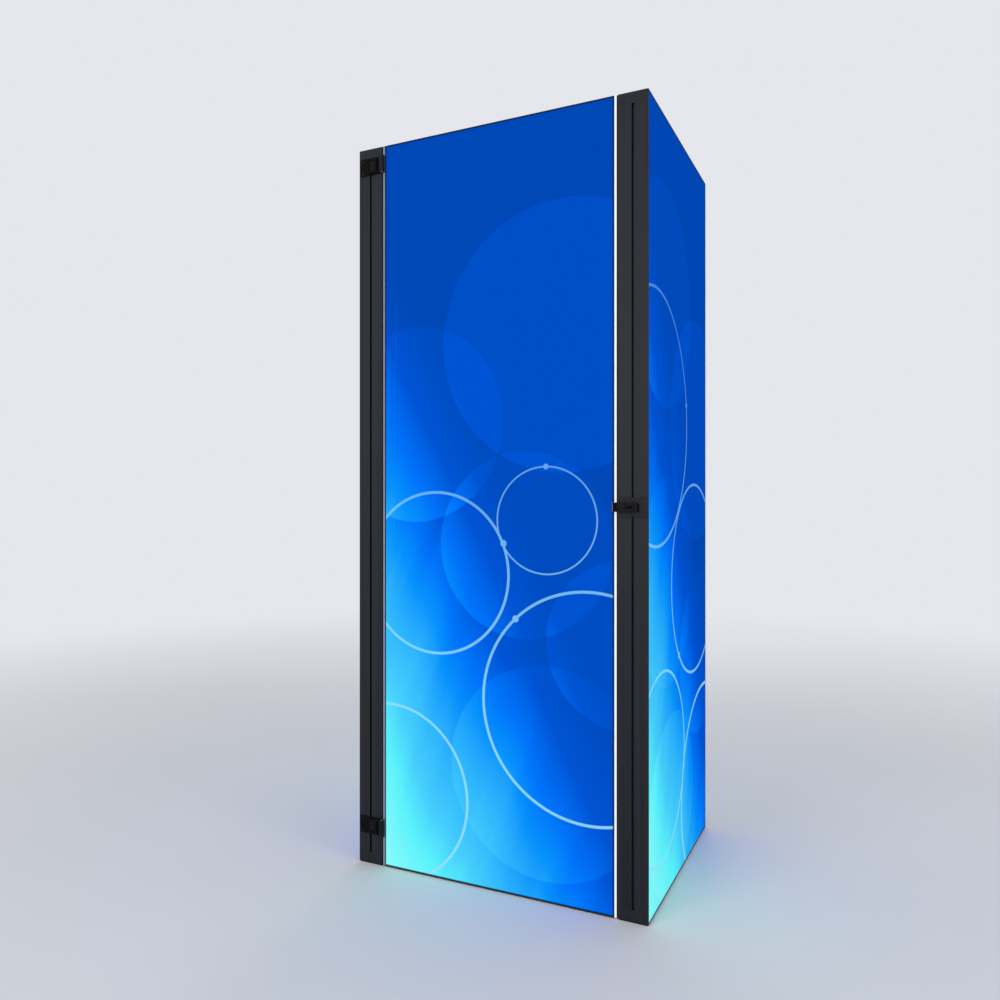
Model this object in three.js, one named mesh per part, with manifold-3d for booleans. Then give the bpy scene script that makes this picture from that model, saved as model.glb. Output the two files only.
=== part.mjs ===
// A lit storage tower: three fixed light-box panels and a light-box door on two hinges.
// Millimetres, +Z up, front towards -Y. The origin is the middle of the footprint on the floor.
import * as THREE from "three";
import { mergeVertices } from "three/addons/utils/BufferGeometryUtils.js";
import Module from "manifold-3d";

const wasm = await Module();
wasm.setup();

// Overall size
const TOWER_WIDTH = 1040;
const TOWER_DEPTH = 826;
const TOWER_HEIGHT = 2500;
const PANEL_THICKNESS = 96;

// Clearances
const SEAT_GAP = 0.3;
const CUT_OVERRUN = 1;
const REAR_GAP = 4;
const STILE_GAP = 10;

// Frame profile: walls, the channel in the outer edge and the seat for the light bar
const PROFILE_WIDTH = 40;
const PROFILE_WALL = 2;
const PROFILE_EDGE = 1.5;
const CHANNEL_WIDTH = 8;
const CHANNEL_DEPTH = 9.5;
const LIGHT_SEAT_WIDTH = 30;
const LIGHT_SEAT_DEPTH = 8;
const RAIL_HEIGHT = 34;
const SPIGOT_LENGTH = 60;

// Cloth and the groove that holds its edge strip
const FRAME_LIP = 3.2;
const GROOVE_WIDTH = 3.4;
const GROOVE_DEPTH = 9;
const CLOTH_THICKNESS = 1.2;

// Light bars
const LIGHT_BAR_END = 60;
const LENS_RADIUS = 7;

// Edge strips on the door
const STRIP_WIDTH = 6.8;
const STRIP_DEPTH = 12;
const STRIP_ROUND = 1.6;
const STRIP_WEB = 0.8;
const NOTCH_GAP = 1;

// Brackets on the frame edges
const BRACKET_HEIGHT = 59;
const BRACKET_THICKNESS = 4;
const BRACKET_INSET = 1;
const HINGE_PLATE_INSET = 5.5;
const BRACKET_ROUND = 4;
const BRACKET_BEVEL = 0.8;
const KEY_DEPTH = 8;
const KEY_HEIGHT = 54;
const SCREW_HOLE_RADIUS = 2.6;
const SCREW_SINK_RADIUS = 4.6;
const SCREW_SINK_DEPTH = 1.8;
const SCREW_END_INSET = 7.8;
const HINGE_SCREW_PLACE = 16;
const LINK_SCREW_PLACE = 12;

// Hinges
const BARREL_RADIUS = 9;
const BARREL_CLEARANCE = 0.8;
const KNUCKLE_HEIGHT = 18.4;
const KNUCKLE_GAP = 0.4;
const PIN_RADIUS = 3;
const PIN_HEAD_RADIUS = 5.5;
const PIN_HEAD_HEIGHT = 1.8;
const PIN_SEAM_PLACE = 4.7;
const LEAF_THICKNESS = 2.2;
const LEAF_LENGTH = 58;
const UPPER_HINGE_DROP = 63;
const LOWER_HINGE_RISE = 135;
const BOSS_START = 43;
const BOSS_WIDTH = 49;
const BOSS_HEIGHT = 50;
const BOSS_RISE = 5;
const BOSS_ROUND = 3;
const BOSS_BEVEL = 1.2;
const BOSS_POCKET_WIDTH = 18.5;
const BOSS_POCKET_HEIGHT = 36;
const BOSS_POCKET_DEPTH = 3.5;
const BOSS_POCKET_INSET = 4;
const BOSS_RIB_START = 25;
const BOSS_RIB_WIDTH = 11;
const BOSS_RIB_HEIGHT = 46;
const BOSS_RIB_PROUD = 1.5;
const BOSS_RIB_BEVEL = 1;
const BOSS_SLOT_WIDTH = 6;
const BOSS_SLOT_HEIGHT = 40;
const BOSS_SLOT_DEPTH = 4;

// Catch at mid height
const CATCH_RISE = 1250;
const CASING_START = 2.6;
const CASING_WIDTH = 63;
const CASING_HEIGHT = 28;
const CASING_DEPTH = 13;
const CASING_ROUND = 4;
const CASING_BEVEL = 1.5;
const CASING_POCKET_WIDTH = 24;
const CASING_POCKET_HEIGHT = 20;
const CASING_POCKET_DEPTH = 3;
const CASING_POCKET_INSET = 24;
const CASING_GROOVE_WIDTH = 6;
const CASING_GROOVE_DEPTH = 3;
const CASING_GROOVE_INSET = 6;
const GRIP_COUNT = 2;
const GRIP_PITCH = 10;
const GRIP_INSET = 13.4;
const GRIP_WIDTH = 8.6;
const GRIP_HEIGHT = 3.2;
const GRIP_DEPTH = 0.9;
const CASING_BACK_WALL = 2;
const BUTTON_WIDTH = 18;
const BUTTON_HEIGHT = 7.5;
const BUTTON_SHIFT = 2;
const BUTTON_ROUND = 0.8;
const BUTTON_PROUD = 0.8;
const BUTTON_LENGTH = 4;
const SPRING_RADIUS = 2;
const SPRING_WIRE_RADIUS = 0.25;
const SPRING_TURNS = 4;
const TONGUE_HEIGHT = 27;
const TONGUE_THICKNESS = 5;
const TONGUE_LAP = 4;
const TONGUE_CLEARANCE = 0.8;

// Links at the rear corners
const LINK_RISE = 420;
const LINK_DROP = 420;

// Base strips under the panels
const BASE_HEIGHT = 4;
const BASE_INSET = 2;
const BASE_EDGE = 0.8;
const BASE_RIDGE_HEIGHT = 6;
const DOOR_BASE_CLEARANCE = 1.4;

// Power inlet, supply and lead
const INLET_RISE = 125;
const INLET_WIDTH = 32;
const INLET_HEIGHT = 28;
const INLET_DEPTH = 24;
const INLET_FLANGE_MARGIN = 4;
const INLET_FLANGE_THICKNESS = 2;
const SOCKET_WIDTH = 24;
const SOCKET_HEIGHT = 17;
const SOCKET_DEPTH = 15;
const SOCKET_CHAMFER = 5;
const SUPPLY_WIDTH = 90;
const SUPPLY_THICKNESS = 52;
const SUPPLY_HEIGHT = 210;
const SUPPLY_OFFSET = 24;
const FIN_COUNT = 9;
const FIN_DEPTH = 8;
const LEAD_RADIUS = 2.5;
const LEAD_RISE = 22;
const LEAD_BEND = 26;

// Facets
const ROUND_SIDES = 24;
const SCREW_SIDES = 12;
const LEAD_SIDES = 8;
const LEAD_STEPS = 50;
const ARC_STEPS = 3;
const SPRING_SIDES = 6;
const SPRING_STEPS_A_TURN = 10;
const MERGE_DISTANCE = 1e-4;

// Places that follow from the sizes above
const HALF_WIDTH = TOWER_WIDTH / 2;
const HALF_THICKNESS = PANEL_THICKNESS / 2;
const PANEL_HEIGHT = TOWER_HEIGHT - BASE_HEIGHT;
const AXIS_PROUD = BARREL_RADIUS + BARREL_CLEARANCE;
const FRONT_PROUD = AXIS_PROUD + BARREL_RADIUS;
const REAR_PROUD = SEAT_GAP + BRACKET_THICKNESS;
const FRONT_Y = (FRONT_PROUD - TOWER_DEPTH - REAR_PROUD) / 2;
const REAR_Y = FRONT_Y + TOWER_DEPTH;
const MIDDLE_Y = (FRONT_Y + REAR_Y) / 2;
const OPENING_WIDTH = TOWER_WIDTH - 2 * PANEL_THICKNESS;
const DOOR_WIDTH = OPENING_WIDTH - 2 * STILE_GAP;
const REAR_PANEL_WIDTH = OPENING_WIDTH - 2 * REAR_GAP;
const CLOTH_RECESS = CLOTH_THICKNESS + SEAT_GAP;
const KEY_WIDTH = CHANNEL_WIDTH - 2 * SEAT_GAP;

// The profile's chambers: u runs from the frame's edge inwards, v from its middle plane outwards
const CHAMBER_V_CHANNEL = CHANNEL_WIDTH / 2 + PROFILE_WALL;
const CHAMBER_V_SEAT = LIGHT_SEAT_WIDTH / 2 + PROFILE_WALL;
const CHAMBER_V_GROOVE = HALF_THICKNESS - GROOVE_DEPTH - PROFILE_WALL;
const CHAMBER_V_FACE = HALF_THICKNESS - CLOTH_RECESS - PROFILE_WALL;
const CHAMBER_U_GROOVE = FRAME_LIP + GROOVE_WIDTH + PROFILE_WALL;
const CHAMBER_U_SEAT = PROFILE_WIDTH - LIGHT_SEAT_DEPTH - PROFILE_WALL;
const CHAMBER_U_END = PROFILE_WIDTH - PROFILE_WALL;
const SEAT_FLOOR_U = PROFILE_WIDTH - LIGHT_SEAT_DEPTH;

// Finishes, from the colours of the pieces
const FINISHES = {
  frame: { color: 0x2a2b2f, roughness: 0.55, metalness: 0.5 },
  bracket: { color: 0x17181a, roughness: 0.45, metalness: 0.6 },
  casing: { color: 0x1b1c1e, roughness: 0.5, metalness: 0.1 },
  button: { color: 0x0d0d0e, roughness: 0.4, metalness: 0 },
  tongue: { color: 0x5d5a55, roughness: 0.35, metalness: 0.9 },
  print: { color: 0x0060c8, roughness: 0.85, metalness: 0 },
  liner: { color: 0xdcdfe2, roughness: 0.9, metalness: 0 },
  strip: { color: 0xf2f4f6, roughness: 0.5, metalness: 0 },
  light: { color: 0xe6e8ea, roughness: 0.4, metalness: 0.2 },
  steel: { color: 0x9a9da1, roughness: 0.3, metalness: 1 },
  base: { color: 0x121213, roughness: 0.8, metalness: 0 },
  supply: { color: 0xb4b7ba, roughness: 0.45, metalness: 0.8 },
  lead: { color: 0x101011, roughness: 0.7, metalness: 0 },
};

// Closed geometry as a solid that can be joined and cut
function solidOf(geometry) {
  const bare = geometry.clone();
  bare.deleteAttribute("normal");
  bare.deleteAttribute("uv");
  const merged = mergeVertices(bare, MERGE_DISTANCE);
  const vertProperties = merged.getAttribute("position").array;
  const triVerts = new Uint32Array(merged.index.array);
  return new wasm.Manifold(new wasm.Mesh({ numProp: 3, vertProperties, triVerts }));
}

function geometryOf(solid) {
  const mesh = solid.getMesh();
  const geometry = new THREE.BufferGeometry();
  geometry.setAttribute("position", new THREE.BufferAttribute(mesh.vertProperties, 3));
  geometry.setIndex(new THREE.BufferAttribute(mesh.triVerts, 1));
  return geometry;
}

function join(first, ...others) {
  const start = solidOf(first);
  return geometryOf(others.reduce((solid, other) => solid.add(solidOf(other)), start));
}

function cut(first, ...others) {
  const start = solidOf(first);
  return geometryOf(others.reduce((solid, other) => solid.subtract(solidOf(other)), start));
}

// Basic forms
function block([xLow, yLow, zLow], [xHigh, yHigh, zHigh]) {
  const box = new THREE.BoxGeometry(xHigh - xLow, yHigh - yLow, zHigh - zLow);
  return box.translate((xLow + xHigh) / 2, (yLow + yHigh) / 2, (zLow + zHigh) / 2);
}

// A shape from points in either order: its outline always runs anticlockwise
function shapeOf(outline, holes = []) {
  const vectors = (points) => points.map(([x, y]) => new THREE.Vector2(x, y));
  const rim = vectors(outline);
  const shape = new THREE.Shape(THREE.ShapeUtils.isClockWise(rim) ? rim.reverse() : rim);
  shape.holes = holes.map((hole) => new THREE.Path(vectors(hole)));
  return shape;
}

// A plan shape raised from one height to another
function column(shape, zLow, zHigh) {
  const settings = { depth: zHigh - zLow, bevelEnabled: false, curveSegments: ARC_STEPS };
  return new THREE.ExtrudeGeometry(shape, settings).translate(0, 0, zLow);
}

// A shape seen from its end, run along X
function along(shape, length) {
  const form = column(shape, 0, length);
  return form.rotateX(Math.PI / 2).rotateZ(Math.PI / 2).translate(-length / 2, 0, 0);
}

// A shape seen from the front, given its thickness from yLow to yHigh
function upright(shape, yLow, yHigh, bevel = 0) {
  const settings = {
    depth: yHigh - yLow - 2 * bevel,
    bevelEnabled: bevel > 0,
    bevelThickness: bevel,
    bevelSize: bevel,
    bevelOffset: -bevel,
    bevelSegments: 1,
    curveSegments: ARC_STEPS,
  };
  const geometry = new THREE.ExtrudeGeometry(shape, settings);
  return geometry.rotateX(Math.PI / 2).translate(0, yHigh - bevel, 0);
}

function rectangle(xLow, xHigh, yLow, yHigh) {
  return [[xLow, yLow], [xHigh, yLow], [xHigh, yHigh], [xLow, yHigh]];
}

function roundedRectangle(xLow, xHigh, yLow, yHigh, radius) {
  const shape = new THREE.Shape();
  const quarter = Math.PI / 2;
  shape.absarc(xHigh - radius, yHigh - radius, radius, 0, quarter);
  shape.absarc(xLow + radius, yHigh - radius, radius, quarter, 2 * quarter);
  shape.absarc(xLow + radius, yLow + radius, radius, 2 * quarter, 3 * quarter);
  shape.absarc(xHigh - radius, yLow + radius, radius, 3 * quarter, 4 * quarter);
  return shape;
}

// A round bar standing on its axis at x, y
function roundBar(x, y, radius, zLow, zHigh) {
  const bar = new THREE.CylinderGeometry(radius, radius, zHigh - zLow, ROUND_SIDES);
  return bar.rotateX(Math.PI / 2).translate(x, y, (zLow + zHigh) / 2);
}

// A round hole along Y, sunk for a screw head on the side that faces `outward`
function screwCut(x, z, face, outward) {
  const reach = PANEL_THICKNESS;
  const round = (radius, length) => new THREE.CylinderGeometry(radius, radius, length, SCREW_SIDES);
  const shank = round(SCREW_HOLE_RADIUS, reach);
  const sink = round(SCREW_SINK_RADIUS, SCREW_SINK_DEPTH + CUT_OVERRUN);
  const sinkMiddle = face + outward * (CUT_OVERRUN - SCREW_SINK_DEPTH) / 2;
  return join(shank.translate(x, face, z), sink.translate(x, sinkMiddle, z));
}

// A turned piece on the Z axis, from points of radius and height
function turned(points) {
  const vectors = points.map(([radius, height]) => new THREE.Vector2(radius, height));
  return new THREE.LatheGeometry(vectors, ROUND_SIDES).rotateX(Math.PI / 2);
}

// A closed tube along a curve
function tube(path, radius, sides, steps) {
  const corners = Array.from({ length: sides }, (_, side) => {
    const angle = 2 * Math.PI * side / sides;
    return [radius * Math.cos(angle), radius * Math.sin(angle)];
  });
  const settings = { steps, bevelEnabled: false, extrudePath: path };
  return new THREE.ExtrudeGeometry(shapeOf(corners), settings);
}

function addPiece(parent, name, geometry, finish) {
  const material = new THREE.MeshStandardMaterial({ ...FINISHES[finish], flatShading: true });
  const mesh = new THREE.Mesh(geometry, material);
  mesh.name = name;
  parent.add(mesh);
  return mesh;
}

// Cloth: a thin face with the edge strip behind it all round. The outer side faces -Y.
// With a margin it is the pocket that the frame gives it.
function clothForm(width, margin) {
  const edge = FRAME_LIP + SEAT_GAP - margin;
  const x = width / 2 - edge;
  const top = PANEL_HEIGHT - edge;
  const stripWidth = GROOVE_WIDTH - 2 * SEAT_GAP + 2 * margin;
  const outline = rectangle(-x, x, edge, top);
  const inner = rectangle(-x + stripWidth, x - stripWidth, edge + stripWidth, top - stripWidth);
  const front = -HALF_THICKNESS - (margin > 0 ? CUT_OVERRUN : 0);
  const back = -HALF_THICKNESS + CLOTH_THICKNESS + margin;
  const stripBack = -HALF_THICKNESS + GROOVE_DEPTH - SEAT_GAP + margin;
  const face = upright(shapeOf(outline), front, back);
  const strip = upright(shapeOf(outline, [inner]), front, stripBack);
  return join(face, strip);
}

// Frame profile of an upright, at the +x edge or the -x edge of a panel
function uprightShape(width, side) {
  const place = ([u, v]) => [side * (width / 2 - u), v];
  const channel = CHANNEL_WIDTH / 2;
  const seat = LIGHT_SEAT_WIDTH / 2;
  const half = [
    [0, channel],
    [0, HALF_THICKNESS - PROFILE_EDGE],
    [PROFILE_EDGE, HALF_THICKNESS],
    [PROFILE_WIDTH, HALF_THICKNESS],
    [PROFILE_WIDTH, seat],
    [SEAT_FLOOR_U, seat],
  ];
  const mirrored = (points) => points.map(([u, v]) => [u, -v]).reverse();
  const outline = [
    [CHANNEL_DEPTH, channel],
    ...half,
    ...mirrored(half),
    [CHANNEL_DEPTH, -channel],
  ];
  const sideChamber = [
    [PROFILE_WALL, CHAMBER_V_CHANNEL],
    [CHAMBER_U_SEAT, CHAMBER_V_CHANNEL],
    [CHAMBER_U_SEAT, CHAMBER_V_SEAT],
    [CHAMBER_U_END, CHAMBER_V_SEAT],
    [CHAMBER_U_END, CHAMBER_V_FACE],
    [CHAMBER_U_GROOVE, CHAMBER_V_FACE],
    [CHAMBER_U_GROOVE, CHAMBER_V_GROOVE],
    [PROFILE_WALL, CHAMBER_V_GROOVE],
  ];
  const middle = channel - PROFILE_WALL / 2;
  const middleChamber = rectangle(CHANNEL_DEPTH + PROFILE_WALL, CHAMBER_U_SEAT, -middle, middle);
  const holes = [sideChamber, mirrored(sideChamber), middleChamber];
  return shapeOf(outline.map(place), holes.map((hole) => hole.map(place)));
}

// Rail profile, seen from its end: open on the side that faces the panel's middle
function railShape() {
  const half = [
    [CHANNEL_WIDTH / 2, CHANNEL_DEPTH],
    [CHANNEL_WIDTH / 2, 0],
    [HALF_THICKNESS, 0],
    [HALF_THICKNESS, RAIL_HEIGHT],
    [CHAMBER_V_FACE, RAIL_HEIGHT],
    [CHAMBER_V_FACE, CHAMBER_U_GROOVE],
    [CHAMBER_V_GROOVE, CHAMBER_U_GROOVE],
    [CHAMBER_V_GROOVE, PROFILE_WALL],
    [CHAMBER_V_CHANNEL, PROFILE_WALL],
    [CHAMBER_V_CHANNEL, CHANNEL_DEPTH + PROFILE_WALL],
  ];
  const mirrored = half.map(([v, u]) => [-v, u]).reverse();
  return shapeOf([...half, ...mirrored]);
}

// A solid corner block with the two spigots that enter the upright's chambers
function cornerBlock(width, side) {
  const outerX = side * width / 2;
  const innerX = side * (width / 2 - PROFILE_WIDTH);
  const edgeX = outerX - side * PROFILE_EDGE;
  const plan = [
    [innerX, -HALF_THICKNESS],
    [edgeX, -HALF_THICKNESS],
    [outerX, -HALF_THICKNESS + PROFILE_EDGE],
    [outerX, HALF_THICKNESS - PROFILE_EDGE],
    [edgeX, HALF_THICKNESS],
    [innerX, HALF_THICKNESS],
  ];
  const nearX = side * (width / 2 - CHAMBER_U_GROOVE - SEAT_GAP);
  const farX = side * (width / 2 - CHAMBER_U_END + SEAT_GAP);
  const spigotTop = RAIL_HEIGHT + SPIGOT_LENGTH;
  const vLow = CHAMBER_V_SEAT + SEAT_GAP;
  const vHigh = CHAMBER_V_FACE - SEAT_GAP;
  const xs = [Math.min(nearX, farX), Math.max(nearX, farX)];
  const spigots = [[vLow, vHigh], [-vHigh, -vLow]].map(([yLow, yHigh]) =>
    column(shapeOf(rectangle(...xs, yLow, yHigh)), RAIL_HEIGHT / 2, spigotTop));
  return join(column(shapeOf(plan), 0, RAIL_HEIGHT), ...spigots);
}

// A bottom rail with its corner blocks. Turned over, it is the top rail.
function rail(width) {
  const middle = along(railShape(), width - 2 * PROFILE_WIDTH + 2 * CUT_OVERRUN);
  return join(middle, cornerBlock(width, -1), cornerBlock(width, 1));
}

// A rubber strip under a bottom rail, with a ridge that sits in the rail's channel
function baseStrip(width, thickness) {
  const half = HALF_THICKNESS - BASE_INSET;
  const high = -SEAT_GAP;
  const low = high - thickness;
  const sole = shapeOf([
    [-half, high],
    [-half, low + BASE_EDGE],
    [BASE_EDGE - half, low],
    [half - BASE_EDGE, low],
    [half, low + BASE_EDGE],
    [half, high],
  ]);
  const ridgeLow = high - thickness / 2;
  const ridge = shapeOf(rectangle(-KEY_WIDTH / 2, KEY_WIDTH / 2, ridgeLow, BASE_RIDGE_HEIGHT));
  const ridgeLength = width - 2 * PROFILE_WIDTH - 2 * SEAT_GAP;
  return join(along(sole, width - 2 * BASE_INSET), along(ridge, ridgeLength));
}

// Light bar: a flat base in the upright's seat with a half-round lens strip
function lightBar(width, side) {
  const x = (u) => side * (width / 2 - u);
  const halfBase = LIGHT_SEAT_WIDTH / 2 - SEAT_GAP;
  const lens = [];
  for (let step = 0; step <= 2 * ARC_STEPS; step += 1) {
    const angle = Math.PI * step / (2 * ARC_STEPS);
    lens.push([PROFILE_WIDTH + LENS_RADIUS * Math.sin(angle), LENS_RADIUS * Math.cos(angle)]);
  }
  const outline = [
    [SEAT_FLOOR_U + SEAT_GAP, halfBase],
    [PROFILE_WIDTH, halfBase],
    ...lens,
    [PROFILE_WIDTH, -halfBase],
    [SEAT_FLOOR_U + SEAT_GAP, -halfBase],
  ];
  const low = RAIL_HEIGHT + LIGHT_BAR_END;
  const plan = shapeOf(outline.map(([u, v]) => [x(u), v]));
  return column(plan, low, PANEL_HEIGHT - low);
}

// One light-box panel in its own frame: outer side towards -Y, bottom at zero.
// `ends` names its uprights at -x and +x; `openings` are cut from the upright of that name.
function makePanel({ name, width, ends, baseThickness, openings = {} }) {
  const panel = new THREE.Group();
  const pocket = clothForm(width, SEAT_GAP);
  const pockets = [pocket, pocket.clone().rotateZ(Math.PI)];
  const low = RAIL_HEIGHT + SEAT_GAP;

  [-1, 1].forEach((side, index) => {
    const end = ends[index];
    const bar = column(uprightShape(width, side), low, PANEL_HEIGHT - low);
    addPiece(panel, `${name}_${end}_upright`, cut(bar, ...pockets, ...(openings[end] ?? [])), "frame");
    addPiece(panel, `${name}_${end}_light_bar`, lightBar(width, side), "light");
  });

  const topRail = rail(width).rotateX(Math.PI).translate(0, 0, PANEL_HEIGHT);
  addPiece(panel, `${name}_top_rail`, cut(topRail, ...pockets), "frame");
  addPiece(panel, `${name}_bottom_rail`, cut(rail(width), ...pockets), "frame");
  addPiece(panel, `${name}_base_strip`, baseStrip(width, baseThickness), "base");

  addPiece(panel, `${name}_outer_print`, clothForm(width, 0), "print");
  addPiece(panel, `${name}_inner_liner`, clothForm(width, 0).rotateZ(Math.PI), "liner");
  return panel;
}

// Seam pieces sit on the door's long edges: s runs from the stile's side into the seam,
// t from the front face to the rear, and `side` is -1 at the hinges and 1 at the catch.
const seamPoint = (side) => ([s, t]) => [side * (DOOR_WIDTH / 2 + s), FRONT_Y + t];
const LEAF_START = SEAT_GAP + STRIP_WEB + SEAT_GAP;
const LEAF_END = LEAF_START + LEAF_THICKNESS;

function seamBlock(side, [sLow, tLow], [sHigh, tHigh], zLow, zHigh) {
  const outline = rectangle(sLow, sHigh, tLow, tHigh).map(seamPoint(side));
  return column(shapeOf(outline), zLow, zHigh);
}

// Leaf that lies along the stile's side and keys into its channel
function seamLeaf(side, tFront, height, keyHeight) {
  const padFront = STRIP_DEPTH + NOTCH_GAP;
  const outline = [
    [LEAF_START, tFront],
    [LEAF_END, tFront],
    [LEAF_END, LEAF_LENGTH],
    [SEAT_GAP, LEAF_LENGTH],
    [SEAT_GAP, padFront],
    [LEAF_START, padFront],
  ];
  const leaf = column(shapeOf(outline.map(seamPoint(side))), -height / 2, height / 2);
  const keyLow = [-KEY_DEPTH, HALF_THICKNESS - KEY_WIDTH / 2];
  const keyHigh = [LEAF_START, HALF_THICKNESS + KEY_WIDTH / 2];
  return join(leaf, seamBlock(side, keyLow, keyHigh, -keyHeight / 2, keyHeight / 2));
}

// Edge strip with a rounded front corner, thinned to a web where a leaf passes it
function edgeStrip(side, notches) {
  const start = SEAT_GAP;
  const end = SEAT_GAP + STRIP_WIDTH;
  const corner = [];
  for (let step = 0; step <= ARC_STEPS; step += 1) {
    const angle = (Math.PI / 2) * (step / ARC_STEPS);
    const s = end - STRIP_ROUND + STRIP_ROUND * Math.sin(angle);
    corner.push([s, STRIP_ROUND - STRIP_ROUND * Math.cos(angle)]);
  }
  const outline = [[start, STRIP_DEPTH], [start, 0], ...corner, [end, STRIP_DEPTH]];
  const strip = column(shapeOf(outline.map(seamPoint(side))), 0, PANEL_HEIGHT);
  const low = [start + STRIP_WEB, -CUT_OVERRUN];
  const high = [end + CUT_OVERRUN, STRIP_DEPTH + CUT_OVERRUN];
  const cuts = notches.map(([middle, height]) => {
    const reach = height / 2 + NOTCH_GAP;
    return seamBlock(side, low, high, middle - reach, middle + reach);
  });
  return cut(strip, ...cuts);
}

// Plate across a frame edge with a key in the edge's channel, and a pair of sunk screw holes.
// The insets are those of its outer and inner sides from the frame's faces, and the screws'
// place is counted from the frame's outer face.
function edgePlate(side, outerInset, innerInset, screwPlace) {
  const outerX = side * (HALF_WIDTH - outerInset);
  const innerX = side * (HALF_WIDTH - PANEL_THICKNESS + innerInset);
  const middleX = side * (HALF_WIDTH - HALF_THICKNESS);
  const half = BRACKET_HEIGHT / 2;
  const xs = [Math.min(outerX, innerX), Math.max(outerX, innerX)];
  const back = FRONT_Y - SEAT_GAP;
  const face = back - BRACKET_THICKNESS;
  const outline = roundedRectangle(...xs, -half, half, BRACKET_ROUND);
  const plate = upright(outline, face, back, BRACKET_BEVEL);
  const key = block(
    [middleX - KEY_WIDTH / 2, back - BRACKET_THICKNESS / 2, -KEY_HEIGHT / 2],
    [middleX + KEY_WIDTH / 2, FRONT_Y + KEY_DEPTH, KEY_HEIGHT / 2],
  );
  const screwX = side * (HALF_WIDTH - screwPlace);
  const screwZ = half - SCREW_END_INSET;
  const screws = [-screwZ, screwZ].map((z) => screwCut(screwX, z, face, -1));
  return cut(join(plate, key), ...screws);
}

// Hinge, with z counted from its middle
const AXIS_X = seamPoint(-1)([PIN_SEAM_PLACE, 0])[0];
const AXIS_Y = FRONT_Y - AXIS_PROUD;
const KNUCKLE_PITCH = KNUCKLE_HEIGHT + KNUCKLE_GAP;
const BARREL_HEIGHT = 3 * KNUCKLE_HEIGHT + 2 * KNUCKLE_GAP;

function knuckle(middle) {
  const half = KNUCKLE_HEIGHT / 2;
  return roundBar(AXIS_X, AXIS_Y, BARREL_RADIUS, middle - half, middle + half);
}

function pinHole() {
  return roundBar(AXIS_X, AXIS_Y, PIN_RADIUS + SEAT_GAP, -BARREL_HEIGHT, BARREL_HEIGHT);
}

function hingeBracket() {
  const plate = edgePlate(-1, HINGE_PLATE_INSET, -BRACKET_INSET, HINGE_SCREW_PLACE);
  const plateFace = FRONT_Y - SEAT_GAP - BRACKET_THICKNESS;
  const bossLow = BOSS_START - HALF_WIDTH;
  const bossHigh = bossLow + BOSS_WIDTH;
  const bossFace = plateFace - BOSS_RISE;
  const bossHalf = BOSS_HEIGHT / 2;
  const bossOutline = roundedRectangle(bossLow, bossHigh, -bossHalf, bossHalf, BOSS_ROUND);
  const boss = upright(bossOutline, bossFace, plateFace + BRACKET_THICKNESS / 2, BOSS_BEVEL);
  const pocketLow = bossLow + BOSS_POCKET_INSET;
  const pocket = block(
    [pocketLow, bossFace - CUT_OVERRUN, -BOSS_POCKET_HEIGHT / 2],
    [pocketLow + BOSS_POCKET_WIDTH, bossFace + BOSS_POCKET_DEPTH, BOSS_POCKET_HEIGHT / 2],
  );
  const ribLow = bossLow + BOSS_RIB_START;
  const ribHigh = ribLow + BOSS_RIB_WIDTH;
  const ribHalf = BOSS_RIB_HEIGHT / 2;
  const ribOutline = roundedRectangle(ribLow, ribHigh, -ribHalf, ribHalf, BOSS_ROUND);
  const rib = upright(ribOutline, bossFace - BOSS_RIB_PROUD, plateFace, BOSS_RIB_BEVEL);
  const slot = block(
    [ribHigh, bossFace - CUT_OVERRUN, -BOSS_SLOT_HEIGHT / 2],
    [ribHigh + BOSS_SLOT_WIDTH, bossFace + BOSS_SLOT_DEPTH, BOSS_SLOT_HEIGHT / 2],
  );
  const tails = [-1, 1].map((end) => {
    const middle = end * KNUCKLE_PITCH;
    const half = KNUCKLE_HEIGHT / 2;
    return block(
      [bossHigh, plateFace, middle - half],
      [AXIS_X, FRONT_Y - BARREL_CLEARANCE, middle + half],
    );
  });
  const gapHalf = KNUCKLE_HEIGHT / 2 + KNUCKLE_GAP;
  const knuckleRoom = block(
    [AXIS_X - BARREL_RADIUS - BARREL_CLEARANCE, bossFace - CUT_OVERRUN, -gapHalf],
    [AXIS_X, FRONT_Y, gapHalf],
  );
  const knuckles = [knuckle(-KNUCKLE_PITCH), knuckle(KNUCKLE_PITCH)];
  const whole = join(plate, boss, rib, ...tails, ...knuckles);
  return cut(whole, pocket, slot, knuckleRoom, pinHole());
}

function hingeLeaf() {
  const neckBack = BARREL_CLEARANCE + NOTCH_GAP;
  const half = KNUCKLE_HEIGHT / 2;
  const leaf = seamLeaf(-1, NOTCH_GAP, BARREL_HEIGHT, KEY_HEIGHT);
  const neck = seamBlock(-1, [LEAF_START, -AXIS_PROUD], [LEAF_END, neckBack], -half, half);
  return cut(join(leaf, neck, knuckle(0)), pinHole());
}

function hingePin() {
  const seat = BARREL_HEIGHT / 2 + SEAT_GAP;
  const end = seat + PIN_HEAD_HEIGHT;
  const rim = PIN_HEAD_RADIUS - PIN_HEAD_HEIGHT / 2;
  return turned([
    [0, -end],
    [rim, -end],
    [PIN_HEAD_RADIUS, -seat - PIN_HEAD_HEIGHT / 2],
    [PIN_HEAD_RADIUS, -seat],
    [PIN_RADIUS, -seat],
    [PIN_RADIUS, seat],
    [PIN_HEAD_RADIUS, seat],
    [PIN_HEAD_RADIUS, seat + PIN_HEAD_HEIGHT / 2],
    [rim, end],
    [0, end],
  ]).translate(AXIS_X, AXIS_Y, 0);
}

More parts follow.
